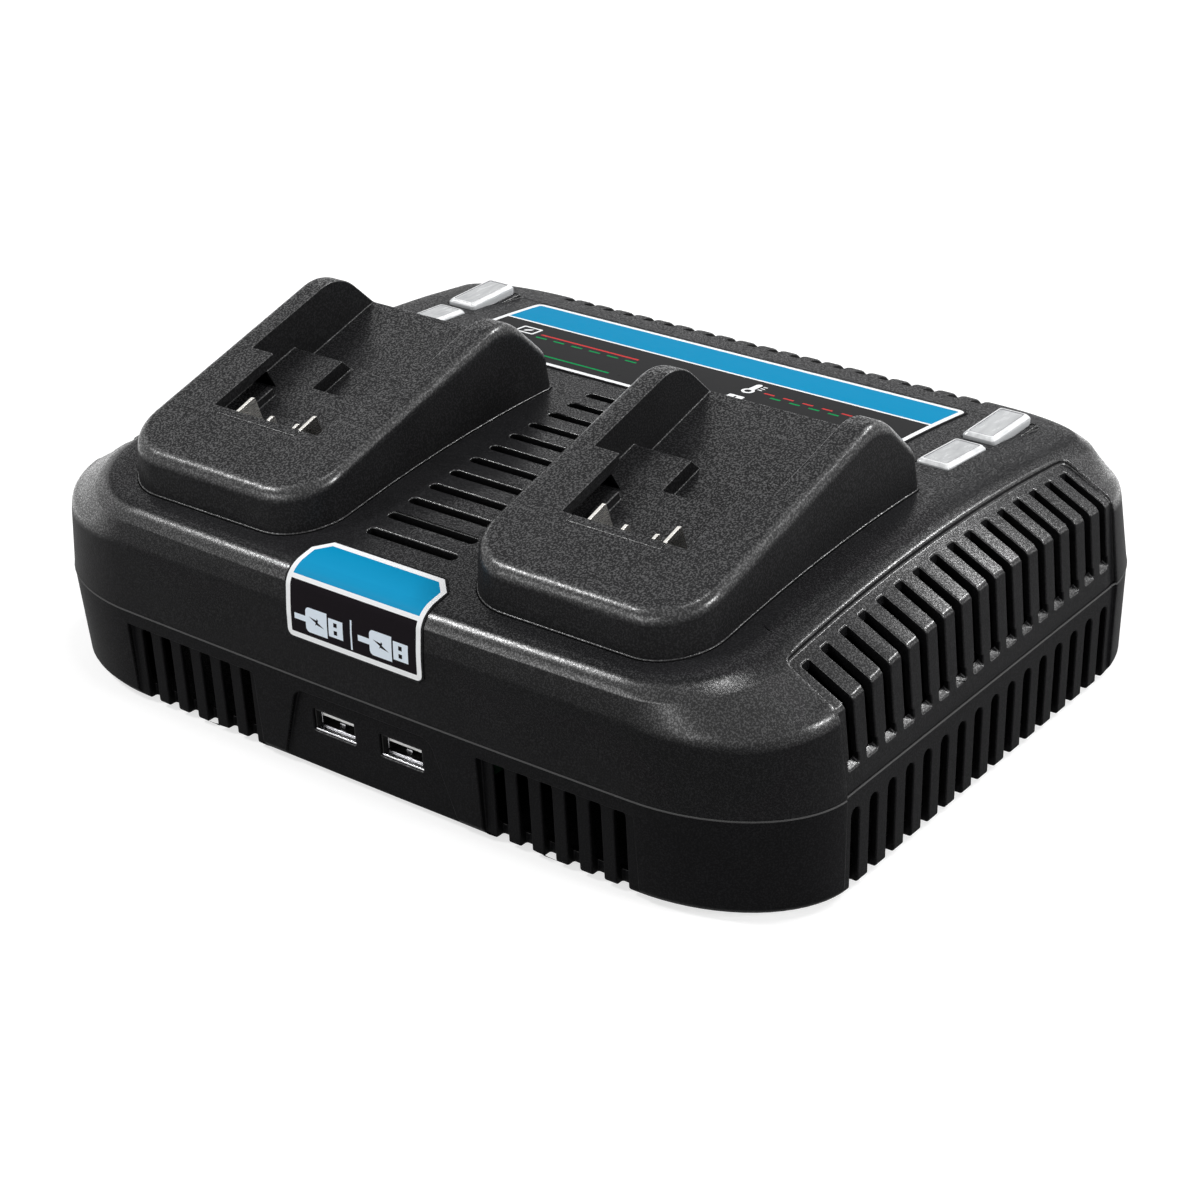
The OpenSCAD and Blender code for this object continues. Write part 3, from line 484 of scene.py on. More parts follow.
class Tree:
    """Node tree of a material or the world, whose nodes are added by expressions"""

    def __init__(self, owner):
        owner.use_nodes = True
        self.nodes, self.links = owner.node_tree.nodes, owner.node_tree.links

    def feed(self, socket, value):
        """Links a value to a socket, or sets it; a colour gets its alpha"""
        if isinstance(value, Value):
            self.links.new(value.socket, socket)
        elif hasattr(socket.default_value, "__len__"):
            socket.default_value = (list(value) + [1.0])[:len(socket.default_value)]
        else:
            socket.default_value = value

    def node(self, kind, settings, *values, output=0, **named):
        """Adds a node: its type, its settings, then the values or links of its sockets, None to skip one"""
        node = self.nodes.new(kind)
        for setting, value in settings.items():
            setattr(node, setting, value)
        for index, value in enumerate(values):
            if value is not None:
                self.feed(node.inputs[index], value)
        for socket, value in named.items():
            self.feed(node.inputs[socket.replace("_", " ")], value)
        return Value(self, node.outputs[output])

    def mix(self, factor, first, second):
        """Colour between two colours, which are the seventh and eighth sockets of a Mix node"""
        return self.node("ShaderNodeMix", {"data_type": "RGBA"}, factor, *[None] * 5, first, second, output=2)

    def tone(self, base, factor, amount):
        """Base colour, lighter or darker by an amount as the factor runs from 0 to 1"""
        low, high = [[c * (1 + s * amount) for c in base] for s in (-1, 1)]
        return self.mix(factor, low, high)

    def seen(self):
        """1 where the camera looks straight, by a reflection or through glass"""
        straight, mirror, glass = [self.node("ShaderNodeLightPath", {}, output=f"Is {ray} Ray")
                                   for ray in ("Camera", "Glossy", "Transmission")]
        return straight.most(mirror).most(glass)


class Look(Tree):
    """A material with one Principled shader"""

    def __init__(self, name, base, roughness, **constants):
        self.material = bpy.data.materials.new(name)
        super().__init__(self.material)
        self.put("Base Color", base)
        self.put("Roughness", roughness)
        for socket, value in constants.items():
            self.put(socket.replace("_", " "), value)
        self.place = self.node("ShaderNodeTexCoord", {}, output="Object")

    def put(self, name, value):
        """Sets a socket of the shader, or links a value to it"""
        self.feed(self.nodes["Principled BSDF"].inputs[name], value)

    def noise(self, size, detail=2.0, roughness=0.5, place=None):
        """Smooth noise with cells of a size in metres"""
        return self.node("ShaderNodeTexNoise", {}, Vector=place or self.place, Scale=1 / size,
                         Detail=detail, Roughness=roughness)

    def stretched(self, size, scale, detail, roughness):
        """Noise whose cells are drawn out where the scale of an axis is small"""
        place = self.node("ShaderNodeMapping", {}, Vector=self.place, Scale=scale)
        return self.noise(size, detail, roughness, place)

    def bump(self, height, distance):
        """Fine relief: height from 0 to 1 over a distance in metres"""
        self.put("Normal", self.node("ShaderNodeBump", {}, Strength=1.0, Distance=distance, Height=height))


def moulded(name, base, grain, depth, roughness, sheen, crown, painted_edge_highlight, lean, painted_top_light):
    """Grained moulded plastic whose gloss sits on the peaks of the grain and whose colour is darker in its
    hollows,
    a painted shade: sheen everywhere; crown, more coat on level faces, a painted sheen for light from above;
    lift, a lighter colour on level faces, painted light; polish, more coat on rounded edges, painted
    highlights, where the normal's height lies between 0.35 and the lean"""
    look = Look(name, base, 0.55, Specular_IOR_Level=0.02, Coat_Roughness=roughness)
    cells = look.noise(grain, 2.0, 0.6)
    broad = look.noise(grain * 60, 2.0, 0.5)
    peak = cells.ramp(0.49, 0.59)
    normal = look.node("ShaderNodeTexCoord", {}, output="Normal")
    up = look.node("ShaderNodeSeparateXYZ", {}, normal, output=2)
    edge = up.ramp(lean + 0.08, lean) * up.ramp(0.1, 0.35)
    level = up.ramp(0.8, 0.96)
    # The base colour is darker where the bump's grain sinks, a painted shade in its hollows, and its tone
    # also varies at random with the broad noise.
    hollow_shade_and_tone = peak * 0.7 + broad.ramp(0.35, 0.65) * 0.3
    # Level faces get a base colour made lighter by a factor: painted light from above on the tops.
    lighter = [c * painted_top_light for c in base]
    look.put("Base Color", look.mix(level, look.tone(base, hollow_shade_and_tone, 0.4), look.tone(lighter, hollow_shade_and_tone, 0.4)))
    look.put("Roughness", 0.55 + (broad - 0.5) * 0.1)
    everywhere = (peak * 0.8 + 0.7) * sheen
    # More coat on level faces and on rounded edges, set by the normal's height: a painted sheen for light
    # from above and painted highlights on the edges.
    top_sheen = level * (peak * 3.4 + 0.15) * crown
    edge_highlight = edge * (peak * 0.9 + 0.5) * painted_edge_highlight
    look.put("Coat Weight", top_sheen + everywhere + edge_highlight)
    look.bump(cells, depth)
    return look.material


def plain(name, base, roughness, grain=0.0004, depth=0.00001, tone=0.08, **constants):
    """Plain finish with faint tone and roughness variation and a fine bump"""
    look = Look(name, base, roughness, **constants)
    noise = look.noise(grain, 3.0, 0.6)
    broad = look.noise(grain * 30, 2.0, 0.5)
    look.put("Base Color", look.tone(base, broad.ramp(0.3, 0.7), tone))
    look.put("Roughness", roughness + (noise - 0.5) * 0.12)
    look.bump(noise, depth)
    return look.material


def brushed(name, base, roughness, stretch):
    """Metal with fine lines along one axis"""
    look = Look(name, base, roughness, Metallic=1.0)
    lines = look.stretched(0.0012, stretch, 3.0, 0.6)
    look.put("Base Color", look.tone(base, lines, 0.1))
    look.put("Roughness", roughness + (lines - 0.5) * 0.25)
    look.bump(lines, 0.000008)
    return look.material


# ---- pieces --------------------------------------------------------------

def cover_rows(body, grow=0.0, low=None, fine=True):
    """Half rings of the cover from the parting line over the shoulder to the plateau; a ring is given by its
    inset at the side, front and rear, its rounding and its drop below the arch"""
    low = body.parting if low is None else low
    lean, drop, slope = body.side_lean, body.shoulder_drop, body.slope_x
    ring = lambda *a, **k: body.ring(*a, grow=grow, fine=fine, **k)
    foot = ring(0, 0, 0, 0, z=low)
    wall = ring(lean, 0.5, 1.7, 1, drop=drop + 2.4)
    fold = ring(lean + 1, 0.6, 1.9, 2, drop=drop)
    rise = ring(lean + 4.2, 0.75, 2.8, 5, drop=drop - 1.7)
    crown = ring(slope(3), 1.45, 5.2, 13, drop=3)
    rows = [foot, foot * 0.9 + wall * 0.1, foot * 0.12 + wall * 0.88, wall, fold, rise,
            rise * 0.82 + crown * 0.18, rise * 0.1 + crown * 0.9, crown,
            ring(slope(1.5), 2.4, 6.6, 14, drop=1.5), ring(slope(0.5) + 0.3, 3.9, 8, 15, drop=0.45),
            ring(slope(0) + 3, 5.9, 10.4, 16, drop=0)]
    # The last ring's points follow the slots between the docks at half their pitch, and keep off the rear
    # edge of the docks' holes.
    slots = MID_Y0 + MID_PITCH / 2 * np.arange(4, 35)
    slots = np.where(abs(slots - DOCK_REAR) < 1, DOCK_REAR + 1.4, slots)
    rows = bending_rows(corner_cut(np.array(rows), 3 if fine else 1))
    return np.append(rows, [ring(slope(0) + 6, 7.4, 13, 16, drop=0, bow=0, lines=slots)], 0)


def folded_rows(body, grow, low):
    """Half rings of the sunk side panels: the cover's wall and slope, met in one narrow fold"""
    lean, drop, slope = body.side_lean, body.shoulder_drop, body.slope_x
    ring = lambda *a, **k: body.ring(*a, grow=grow, fine=False, **k)
    return np.array([ring(0, 0, 0, 0, z=low), ring(lean - 0.07, 0.5, 1.7, 1, drop=drop + 0.8),
                     ring(lean + 0.9, 0.6, 1.9, 2, drop=drop - 0.5), ring(slope(0.4), 3, 8, 15, drop=0.4),
                     ring(slope(0) + 2.5, 5, 10, 16, drop=0)])


def dock_top(y):
    """Top of a dock along its depth: rails that rise to y = 0, a back that falls from there, and a round
    crest whose circle touches both"""
    rise, fall = math.atan(RAIL_TAN), math.atan(BACK_TAN)
    touch = CREST_R * math.tan((rise + fall) / 2)
    y0, y1 = -touch * math.cos(rise), touch * math.cos(fall)
    cy, cz = y0 + CREST_R * math.sin(rise), RAIL_TOP + y0 * RAIL_TAN - CREST_R * math.cos(rise)
    crest = cz + np.sqrt(np.maximum(CREST_R ** 2 - (y - cy) ** 2, 0))
    return np.where(y < y0, RAIL_TOP + y * RAIL_TAN, np.where(y > y1, RAIL_TOP - y * BACK_TAN, crest))


def rail_z(y, depth=0.0):
    """Height at a depth below the line of the rails"""
    return RAIL_TOP + y * RAIL_TAN - depth


def dock_ring(body, inset, drop, on_arch):
    """Half ring of a dock, inset on all sides, on the arch or at a drop below the dock's top"""
    w, f, b = DOCK_HALF - inset, DOCK_FRONT + inset, DOCK_REAR - inset
    r, rr = DOCK_R - inset, max(3 - inset, 0.6)
    ys = np.concatenate([np.linspace(f + r + 6, -10, 6), np.linspace(-8, 8, 17), [b - rr - 1.4]])
    x, y = half_outline(w, f, b, r, r, rr, rr, ys, 0, 14)
    return xyz(x, y, body.arch(y) + drop if on_arch else dock_top(y) - drop)


def dock_rows(body):
    """Half rings of a dock: straight down through the cover, leaning walls and a rounded rim"""
    low, seam = dock_ring(body, 0, -body.wall - 2.2, True), dock_ring(body, 0, 0, True)
    wall = dock_ring(body, 0.6, 4.0, False)
    rim = ((0.75, 2.3), (1.25, 1.1), (2.1, 0.35), (3.3, 0.03), (4.4, 0), (6.6, 0))
    rows = [low, low * 0.4 + seam * 0.6, seam, seam * 0.7 + wall * 0.3, seam * 0.1 + wall * 0.9, wall]
    rows += [dock_ring(body, inset, drop, False) for inset, drop in rim]
    return bending_rows(corner_cut(np.array(rows)))


def by_slot(places, *corners):
    """One coordinate of a stack of profiles: a row for each place, a column for each corner"""
    return np.stack(np.broadcast_arrays(places, *corners)[1:], 1)


def side_openings(body):
    """Right side slots, which wrap over the shoulder and end on a sill that falls outwards, and the flare of
    each sill"""
    y = SIDE_Y0 + SIDE_PITCH * np.arange(SIDE_SLOTS)
    top, low = body.arch(y), body.parting + SIDE_RISE
    inner, outer = body.half_w - body.slope_x(3.6), body.half_w + 2
    deep = body.half_w - body.side_lean - body.wall - 2.5
    sill = body.half_w - body.side_lean - PANEL_T - SILL_IN
    shelf = low + SILL_RISE
    foot = shelf - (outer - sill) * SILL_TAN
    xs = by_slot(y, inner, outer, outer, sill, deep, deep, inner)
    zs = by_slot(y, top + 1, top + 1, foot, shelf, shelf, top - body.shoulder_drop - body.wall - 2,
                 top - 6.5 - body.wall)
    slots = extrusions(xyz(xs, y[:, None] - SIDE_SLOT_W / 2, zs), (0, SIDE_SLOT_W, 0))
    xs, zs = np.array([sill, outer, outer, sill]), np.array([shelf, foot, low + 1.6, low + 1.6])
    flares = extrusions(xyz(xs, y[:, None] - SIDE_SLOT_W / 2 - FLARE, zs), (0, SIDE_SLOT_W + 2 * FLARE, 0))
    return slots, flares


def top_openings(body):
    """Slots between the docks, with round ends, and slots over the rear edge"""
    i = np.arange(MID_SLOTS)
    y = MID_Y0 + i * MID_PITCH
    half = (DOCK_X - DOCK_HALF - MID_CLEAR) - MID_TAPER * i / MID_SLOTS - MID_SLOT_W / 2
    end = arc(0, 0, MID_SLOT_W / 2, MID_SLOT_W / 2, -90, 90, 8)
    shape = np.concatenate([end, -end])
    sign = np.repeat([1.0, -1.0], len(end))
    outline = xyz(shape[:, 0] + sign * half[:, None], shape[:, 1] + y[:, None], body.arch(y)[:, None] - 8)
    between = extrusions(outline, (0, 0, 12))

    x = -(REAR_SLOTS - 1) / 2 * REAR_PITCH + REAR_PITCH * np.arange(REAR_SLOTS)
    top, rear, low = body.arch(body.rear), body.rear, body.parting + SIDE_RISE
    yz = np.array([[rear - REAR_REACH, top + 4], [rear + 2, top + 4], [rear + 2, low],
                   [rear - REAR_DEEP, low], [rear - REAR_DEEP, top - 6], [rear - REAR_REACH, top - 3]])
    profile = xyz(x[:, None] - REAR_SLOT_W / 2, yz[:, 0], yz[:, 1])
    return between, extrusions(profile, (REAR_SLOT_W, 0, 0))


def lens_frame(body, side, rear):
    """Place of a lens: tilted with the top in front, level at the rear"""
    y = LENS_REAR_Y if rear else LENS_Y
    seat = body.arch(LENS_REAR_Y - LENS_L / 2) - 2 if rear else body.arch(LENS_Y) - 2.2
    tilt = 0 if rear else -math.atan((LENS_Y - body.crest_y) / body.arch_r)
    return Matrix.Translation((side * LENS_X, y, seat)) @ Matrix.Rotation(tilt, 4, "X")


def wedge(body, side):
    """Black wedge that carries a rear lens level on the falling top"""
    y0, y1 = LENS_Y + LENS_L / 2 + 1, LENS_Y + LENS_L / 2 + LENS_L + 3.4
    z = body.arch(LENS_REAR_Y - LENS_L / 2) - 1
    a0, a1 = body.arch(y0), body.arch(y1)
    return along_x([[y0, a0 - 1.5], [y1, a1 - 1.5], [y1, a1 + 1], [y1 - 1.4, z], [y0 + 1.2, z]],
                   LENS_W / 2 + 1.8, side * LENS_X)


def build_cover(body, shape, material):
    """Cover: a lofted shell with the shoulder panels, the slots and the openings for docks and lenses"""
    cover = solid("cover", loft(cover_rows(body)))
    combine(cover, solid("wedges", wedge(body, 1), wedge(body, -1)), "UNION")
    cut(cover, "hollow", loft(cover_rows(body, body.wall, body.parting - 1, fine=False)))
    x, out = body.half_w - body.slope_x(2.4) + PANEL_R, body.half_w + 4
    outline = np.concatenate([arc(x, PANEL_Y1 - PANEL_R, PANEL_R, PANEL_R, 90, 180, 5),
                              arc(x, PANEL_Y0 + PANEL_R, PANEL_R, PANEL_R, 180, 270, 5),
                              [[out, PANEL_Y0], [out, PANEL_Y1]]])
    panel = solid("panels", *both_sides(along_z(outline, body.parting - 2, 80)))
    cut(panel, "sunk", loft(folded_rows(body, PANEL_T, body.parting - 3)))
    combine(cover, panel)
    hole = loft(np.array([dock_ring(body, -0.2, rise, True) for rise in (-8, 2)]), flat_bottom=False)
    for side, _ in SIDES:
        cut(cover, "dock_hole", shifted(hole, side * DOCK_X, 0, 0))
    for part in side_openings(body):
        cut(cover, "side_slots", *both_sides(part))
    for part in top_openings(body):
        cut(cover, "top_slots", part)
    w, l = LENS_W / 2 + 0.15, LENS_L / 2 + 0.15
    pocket = along_z(rectangle(-w, w, -l, l), -0.05, 12)
    cut(cover, "pockets", *[moved(pocket, lens_frame(body, side, rear))
                            for side, _ in SIDES for rear in (False, True)])
    soften(cover, shape.cover_edge, 34)
    dress(cover, material, "cover_plastic", "upper_housing")


def base_rows(body, grow, low, high, fine=True):
    """Half rings of the base: a narrow foot, a rounded lower edge and a wall up to the parting line"""
    a = body.ring(2.2, 2.2, 2.2, 1, z=low, grow=grow, fine=fine)
    b = body.ring(0.9, 0.9, 0.9, 0.5, z=low + 1.8, grow=grow, fine=fine)
    c = body.ring(0, 0, 0, 0, z=high, grow=grow, fine=fine)
    return bending_rows(corner_cut(np.array([a, a * 0.5 + b * 0.5, b, b * 0.92 + c * 0.08, c]), 2))


def cut_front(base, body):
    """Recess of the outlets in a thicker front wall, their holes, and the sunk panels and slots beside"""
    thick = rectangle(-RECESS_HALF - 3, RECESS_HALF + 3, body.base + 0.6, body.parting - 0.05)
    combine(base, solid("thick", along_y(thick, -body.rear + body.wall - 0.4, 2.2)), "UNION")
    r, x, z = RECESS_R, RECESS_TOP_HALF, body.parting - RECESS_DROP - RECESS_R
    recess = np.concatenate([[[-RECESS_HALF, 0.2], [RECESS_HALF, 0.2]], arc(x, z, r, r, 15, 90, 8),
                             arc(-x, z, r, r, 90, 165, 8)])
    cut(base, "recess", along_y(recess, 1.8 - body.rear, -10))
    half, tall = PORT_W / 2 + PORT_GAP, PORT_H / 2 + PORT_GAP
    port = rectangle(-half, half, PORT_Z - tall, PORT_Z + tall)
    cut(base, "ports", along_y(port, OUTSIDE, 20, (PORT_X, -PORT_X)))

    middle = FRONT_X0 + (FRONT_SLOTS - 1) / 2 * FRONT_PITCH
    w, top = (FRONT_SLOTS - 1) * FRONT_PITCH / 2 + 5, body.parting - BASE_DROP
    panel = rectangle(-w, w, 0, top + 0.6)
    depth = -body.rear + body.bow + 0.9 - OUTSIDE
    cut(base, "front_panels", along_y(panel, OUTSIDE, depth, (middle, -middle)))
    xs = FRONT_X0 + FRONT_PITCH * np.arange(FRONT_SLOTS)
    cut(base, "front_slots", along_y(base_slot(top), OUTSIDE + 1, FRONT_SLOT_DEEP, np.r_[xs, -xs]))


def base_slot(top):
    """Upright slot that is open below, with a round upper end"""
    r = BASE_SLOT_W / 2
    return np.concatenate([[[-r, 0.2], [r, 0.2]], arc(0, top - r, r, r, 0, 180, 6)])


def cut_sides(base, body):
    """Slots in both sides of the base, and the lower part of the sunk side panels"""
    slot, ys = base_slot(body.parting - BASE_DROP), SIDE_Y0 + SIDE_PITCH * np.arange(SIDE_SLOTS)
    profile = xyz(body.half_w - BASE_SLOT_DEEP, slot[:, 0] + ys[:, None], slot[:, 1])
    cut(base, "side_slots", *both_sides(extrusions(profile, (8, 0, 0))))
    half = (PANEL_Y1 - PANEL_Y0) / 2
    panel = along_z(rectangle(-6, 6, -half, half), 0, body.parting + 2)
    panel = solid("panels", *both_sides(shifted(panel, body.half_w + 3, (PANEL_Y0 + PANEL_Y1) / 2, 0)))
    cut(panel, "sunk", loft(base_rows(body, PANEL_T, -1, body.parting + 3), flat_top=True))
    combine(base, panel)


def build_base(body, shape, material):
    """Base: a lofted tray with the recess of the outlets, sunk panels, open-bottomed slots, the hole of the
    cord gland and a blind well with a boss for each housing screw"""
    base = solid("base", loft(base_rows(body, 0, body.base, body.parting), flat_top=True))
    tray = base_rows(body, body.wall, body.base + body.wall, body.parting + 1, False)
    cut(base, "tray", loft(tray, flat_top=True))
    cut_front(base, body)
    cut_sides(base, body)
    circle = arc(0, 0, 1, 1, 0, 360, 40)[:-1]
    for r, inset in ((GLAND_RIM_R, 2.1), (GLAND_HOLE_R, 12)):
        cut(base, "gland", along_y(r * circle + (0, GLAND_Z), body.rear - inset, inset + 3, (GLAND_X,)))
    for x in (SCREW_SIDE - body.half_w, body.half_w - SCREW_SIDE):
        for y in (body.front + SCREW_FRONT, body.rear - SCREW_REAR):
            floor = body.base + body.wall - 0.6
            boss = along_z(BOSS_R * circle + (x, y), floor, floor + BOSS_H)
            combine(base, solid("screw_boss", boss), "UNION")
            cut(base, "screw_well", along_z(WELL_R * circle + (x, y), -2, body.wall + 3))
    soften(base, shape.cover_edge, 34)
    dress(base, material, "base_plastic", "lower_housing")


def build_seams(body, dock_material, base_material):
    """Fine raised beads where the docks meet the cover and where the cover meets the base"""
    dock = bead(whole(dock_ring(body, 0.05, 0.1, True)), 0.3)
    seams = solid("dock_seams", *[shifted(dock, side * DOCK_X, 0, 0) for side, _ in SIDES])
    ring = body.ring(0.08, 0.08, 0.08, 0, z=body.parting)
    by_panel = (ring[:, 1] > PANEL_Y0) & (ring[:, 1] < PANEL_Y1) & (ring[:, 0] > body.half_w - 2)
    ring[:, 0] -= PANEL_T * by_panel
    line = solid("parting_bead", bead(whole(ring), 0.24))
    for obj in (seams, line):
        obj.data.shade_smooth()
    dress(seams, dock_material, "dock_plastic")
    dress(line, base_material, "base_plastic")


def dock_tools():
    """Tools that cut the channel, each a profile of y and z carried across: the wide part with its ramp, the
    mouth between the lips, the grooves under them, the latch's notch and the room of the terminal block"""
    high, rear = RAIL_TOP + 8, DOCK_REAR + 8
    foot, notch_y, lip = RAMP_START + 4.8, RAMP_START - NOTCH_L, LIP_END + 1
    seat = lambda y, over=0.0: [y, rail_z(y, SEAT_DEPTH) + over]
    wide = [seat(LIP_END), seat(RAMP_START), [foot, rail_z(foot, RAMP_DEPTH)],
            [rear, rail_z(rear, RAMP_DEPTH)], [rear, high], [LIP_END, high]]
    mouth = [seat(CHANNEL_FRONT), seat(lip), [lip, high], [CHANNEL_FRONT, high]]
    under = rail_z(LIP_END, LIP_T)
    groove = [seat(CHANNEL_FRONT, 0.002), seat(lip, 0.002), [lip, under + 1.4],
              [LIP_END - 3.3, under - 3.3 * RAIL_TAN],
              [CHANNEL_FRONT, under + (CHANNEL_FRONT - LIP_END) * RAIL_TAN]]
    notch = [[notch_y, rail_z(notch_y, NOTCH_DEPTH)], [foot, rail_z(foot, NOTCH_DEPTH)], seat(foot, 1),
             seat(notch_y, 1)]
    y0, y1, step = CHANNEL_FRONT - STRIP_L - 0.1, CHANNEL_FRONT + WELL_L + 0.1, CHANNEL_FRONT + 0.01
    bottom = rail_z(y0, SEAT_DEPTH + 6)
    room = [[y0, bottom], [y1, bottom], seat(y1, 0.3), [step, rail_z(CHANNEL_FRONT, SEAT_DEPTH) + 0.3],
            [step, high], [y0, high]]
    return (along_x(wide, CHANNEL_HALF), along_x(mouth, LIP_HALF), along_x(groove, CHANNEL_HALF - 0.002),
            along_x(notch, NOTCH_HALF), along_x(room, STRIP_W / 2 + 0.1, STRIP_X))


def build_dock(body, shape, material, side, word):
    """Battery dock: a leaning block with a rounded rim, cut by the battery's sloping channel, with a rib
    along each edge of its floor"""
    dock = solid(f"battery_dock_{word}_moulding", loft(dock_rows(body), flat_bottom=False))
    for part in dock_tools():
        cut(dock, "channel", part)
    y0, y1 = CHANNEL_FRONT + WELL_L + 0.3, LIP_END - 3.5
    rib = [[y, rail_z(y, SEAT_DEPTH) + over] for y, over in ((y0, -1), (y1 + 1, -1), (y1, 2.4), (y0, 2.4))]
    combine(dock, solid("ribs", along_x(rib, 1, LIP_HALF - 1), along_x(rib, 1, 1 - LIP_HALF)), "UNION")
    soften(dock, shape.dock_edge, 34)
    dock.data.transform(Matrix.Translation((side * DOCK_X * MM, 0, 0)))
    dress(dock, material, "dock_plastic", f"battery_dock_{word}")


def build_lens(body, shape, material, side, rear, node):
    """Lens: a rounded block whose top border slopes to a sunk flat middle; the attribute rim holds the
    inset of each point from the side, in millimetres"""
    bevel, top = shape.lens_bevel / MM, LENS_T + (0.5 if rear else 0.0)
    levels = [(0, 0), (0, 0.4), (0, top - 1.1), (0.15, top - 0.75), (0.75, top - 0.12), (0.95, top),
              (bevel + 0.15, top), (bevel + 0.3, top - 0.16), (bevel + 0.9, top - 0.16)]
    rows = []
    for inset, z in levels:
        w, l, r = LENS_W / 2 - inset, LENS_L / 2 - inset, max(1.1 - inset * 0.4, 0.3)
        x, y = half_outline(w, -l, l, r, r, r, r, np.linspace(-l + r + 0.5, l - r - 0.5, 3), 0, 6)
        rows.append(np.stack([x, y, np.full_like(x, z), np.full_like(x, inset)], 1))
    rows = corner_cut(np.array(rows), 1)
    rim = np.concatenate([rows[..., 3], rows[:, ::-1, 3]], 1).ravel()
    lens = solid(node + "_block", moved(loft(rows[..., :3]), lens_frame(body, side, rear)))
    lens.data.attributes.new("rim", "FLOAT", "POINT").data.foreach_set("value", rim.astype(np.float32))
    lens.data.shade_smooth()
    lens.data.set_sharp_from_angle(angle=math.radians(35))
    dress(lens, material, "lens_clear", node)


def build_port(side, steel, insert, lining):
    """Outlet: blocks given by their ends along x, y from the front and z from the middle"""
    low, high = [np.array(corner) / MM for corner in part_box("usb_shell_" + side)]
    middle, w, h, end = (low + high) / 2, PORT_W / 2, PORT_H / 2, high[1] - low[1]

    def blocks(name, rows, width, material, slot, *nodes):
        parts = [shifted(along_z(rectangle(*row[:4]), *row[4:]), middle[0], low[1], middle[2])
                 for row in rows]
        dress(soften(solid(name, *parts), width), material, slot, *nodes)

    blocks("usb_metal_" + side, [
        (-w, w, 0, 0.4, -h, 0.42 - h),                          # lower lip
        (-w, w, 0.5, 1.75, -h, 0.25 - h),                       # floor behind it
        (-w, w, 1.8, 2.1, -h, 0.6 - h),                         # bar at the end of the floor
        (-1.6, 0.1, 3.2, 3.5, -h + 0.4, -h + 1.7),              # spring in the middle
        (w - 1.6, w - 0.4, 3.0, 3.3, -h + 0.2, -h + 1.7),       # spring at the side
        (0.45 - w, 0.65 - w, 1.7, 1.9, -1.7, 1.4)],             # upright strip
        0.00006, steel, "port_steel", "usb_shell_" + side)
    blocks("usb_tongue_block_" + side, [(0.95 - w, w - 0.95, 1.6, end - 2, 0.5, 1.85)], 0.0002,
           insert, "port_insert", "usb_tongue_" + side)
    # The outlet's side, top and back walls are a dark sheet: painted shade where the steel shell lies in
    # shadow.
    blocks("usb_lining_" + side, [
        (-w, 0.4 - w, 0.1, end, -h + 0.3, h), (w - 0.4, w, 0.1, end, -h + 0.3, h),
        (0.45 - w, w - 0.45, 0.1, end, h - 0.4, h), (0.45 - w, w - 0.45, 2.2, end, -h, 0.3 - h),
        (0.45 - w, w - 0.45, end - 1, end, 0.35 - h, h - 0.45)], 0.00006, lining, "component_black")


# ---- labels --------------------------------------------------------------

def label_sheet(name, grid, film, keep):
    """Thin closed film over the kept cells of a grid on the cover, lifted along the grid's normals; UV runs
    from 0 to 1 along both sides of the grid"""
    rows, columns = grid.shape[:2]
    normal = np.cross(np.gradient(grid, axis=1), np.gradient(grid, axis=0))
    normal /= np.linalg.norm(normal, axis=2, keepdims=True)
    n = rows * columns
    r, c = np.meshgrid(np.arange(rows - 1), np.arange(columns - 1), indexing="ij")
    quad = (r * columns + c).ravel()
    cells = np.stack([quad, quad + 1, quad + columns + 1, quad + columns], 1)[keep.ravel()]
    edges = np.concatenate([cells[:, [i, (i + 1) % 4]] for i in range(4)])
    rim = edges[~np.isin(edges[:, 1] * n + edges[:, 0], edges[:, 0] * n + edges[:, 1])]
    walls = np.stack([rim[:, 1], rim[:, 0], rim[:, 0] + n, rim[:, 1] + n], 1)
    used = np.unique(np.concatenate([cells.ravel(), cells.ravel() + n]))
    new = np.full(2 * n, -1)
    new[used] = np.arange(len(used))
    points = np.concatenate([(grid + normal * height).reshape(-1, 3) for height in (film, 0.02)])
    obj = solid(name, (points[used], new[np.concatenate([cells, cells[:, ::-1] + n, walls])].tolist()))
    u, v = np.meshgrid(np.linspace(0, 1, columns), np.linspace(0, 1, rows))
    uv = np.concatenate([np.stack([u.ravel(), v.ravel()], 1)] * 2)[used]
    loops = np.zeros(len(obj.data.loops), int)
    obj.data.loops.foreach_get("vertex_index", loops)
    obj.data.uv_layers.new(name="print").data.foreach_set("uv", uv[loops].ravel())
    obj.data.shade_smooth()
    obj.data.set_sharp_from_angle(angle=math.radians(40))
    return obj


def past_corner(along, across):
    """True where a cell lies outside a round corner, from its distances to the two edges"""
    near = (along < LABEL_R) & (across < LABEL_R)
    return near & (np.hypot(LABEL_R - along, LABEL_R - across) > LABEL_R)


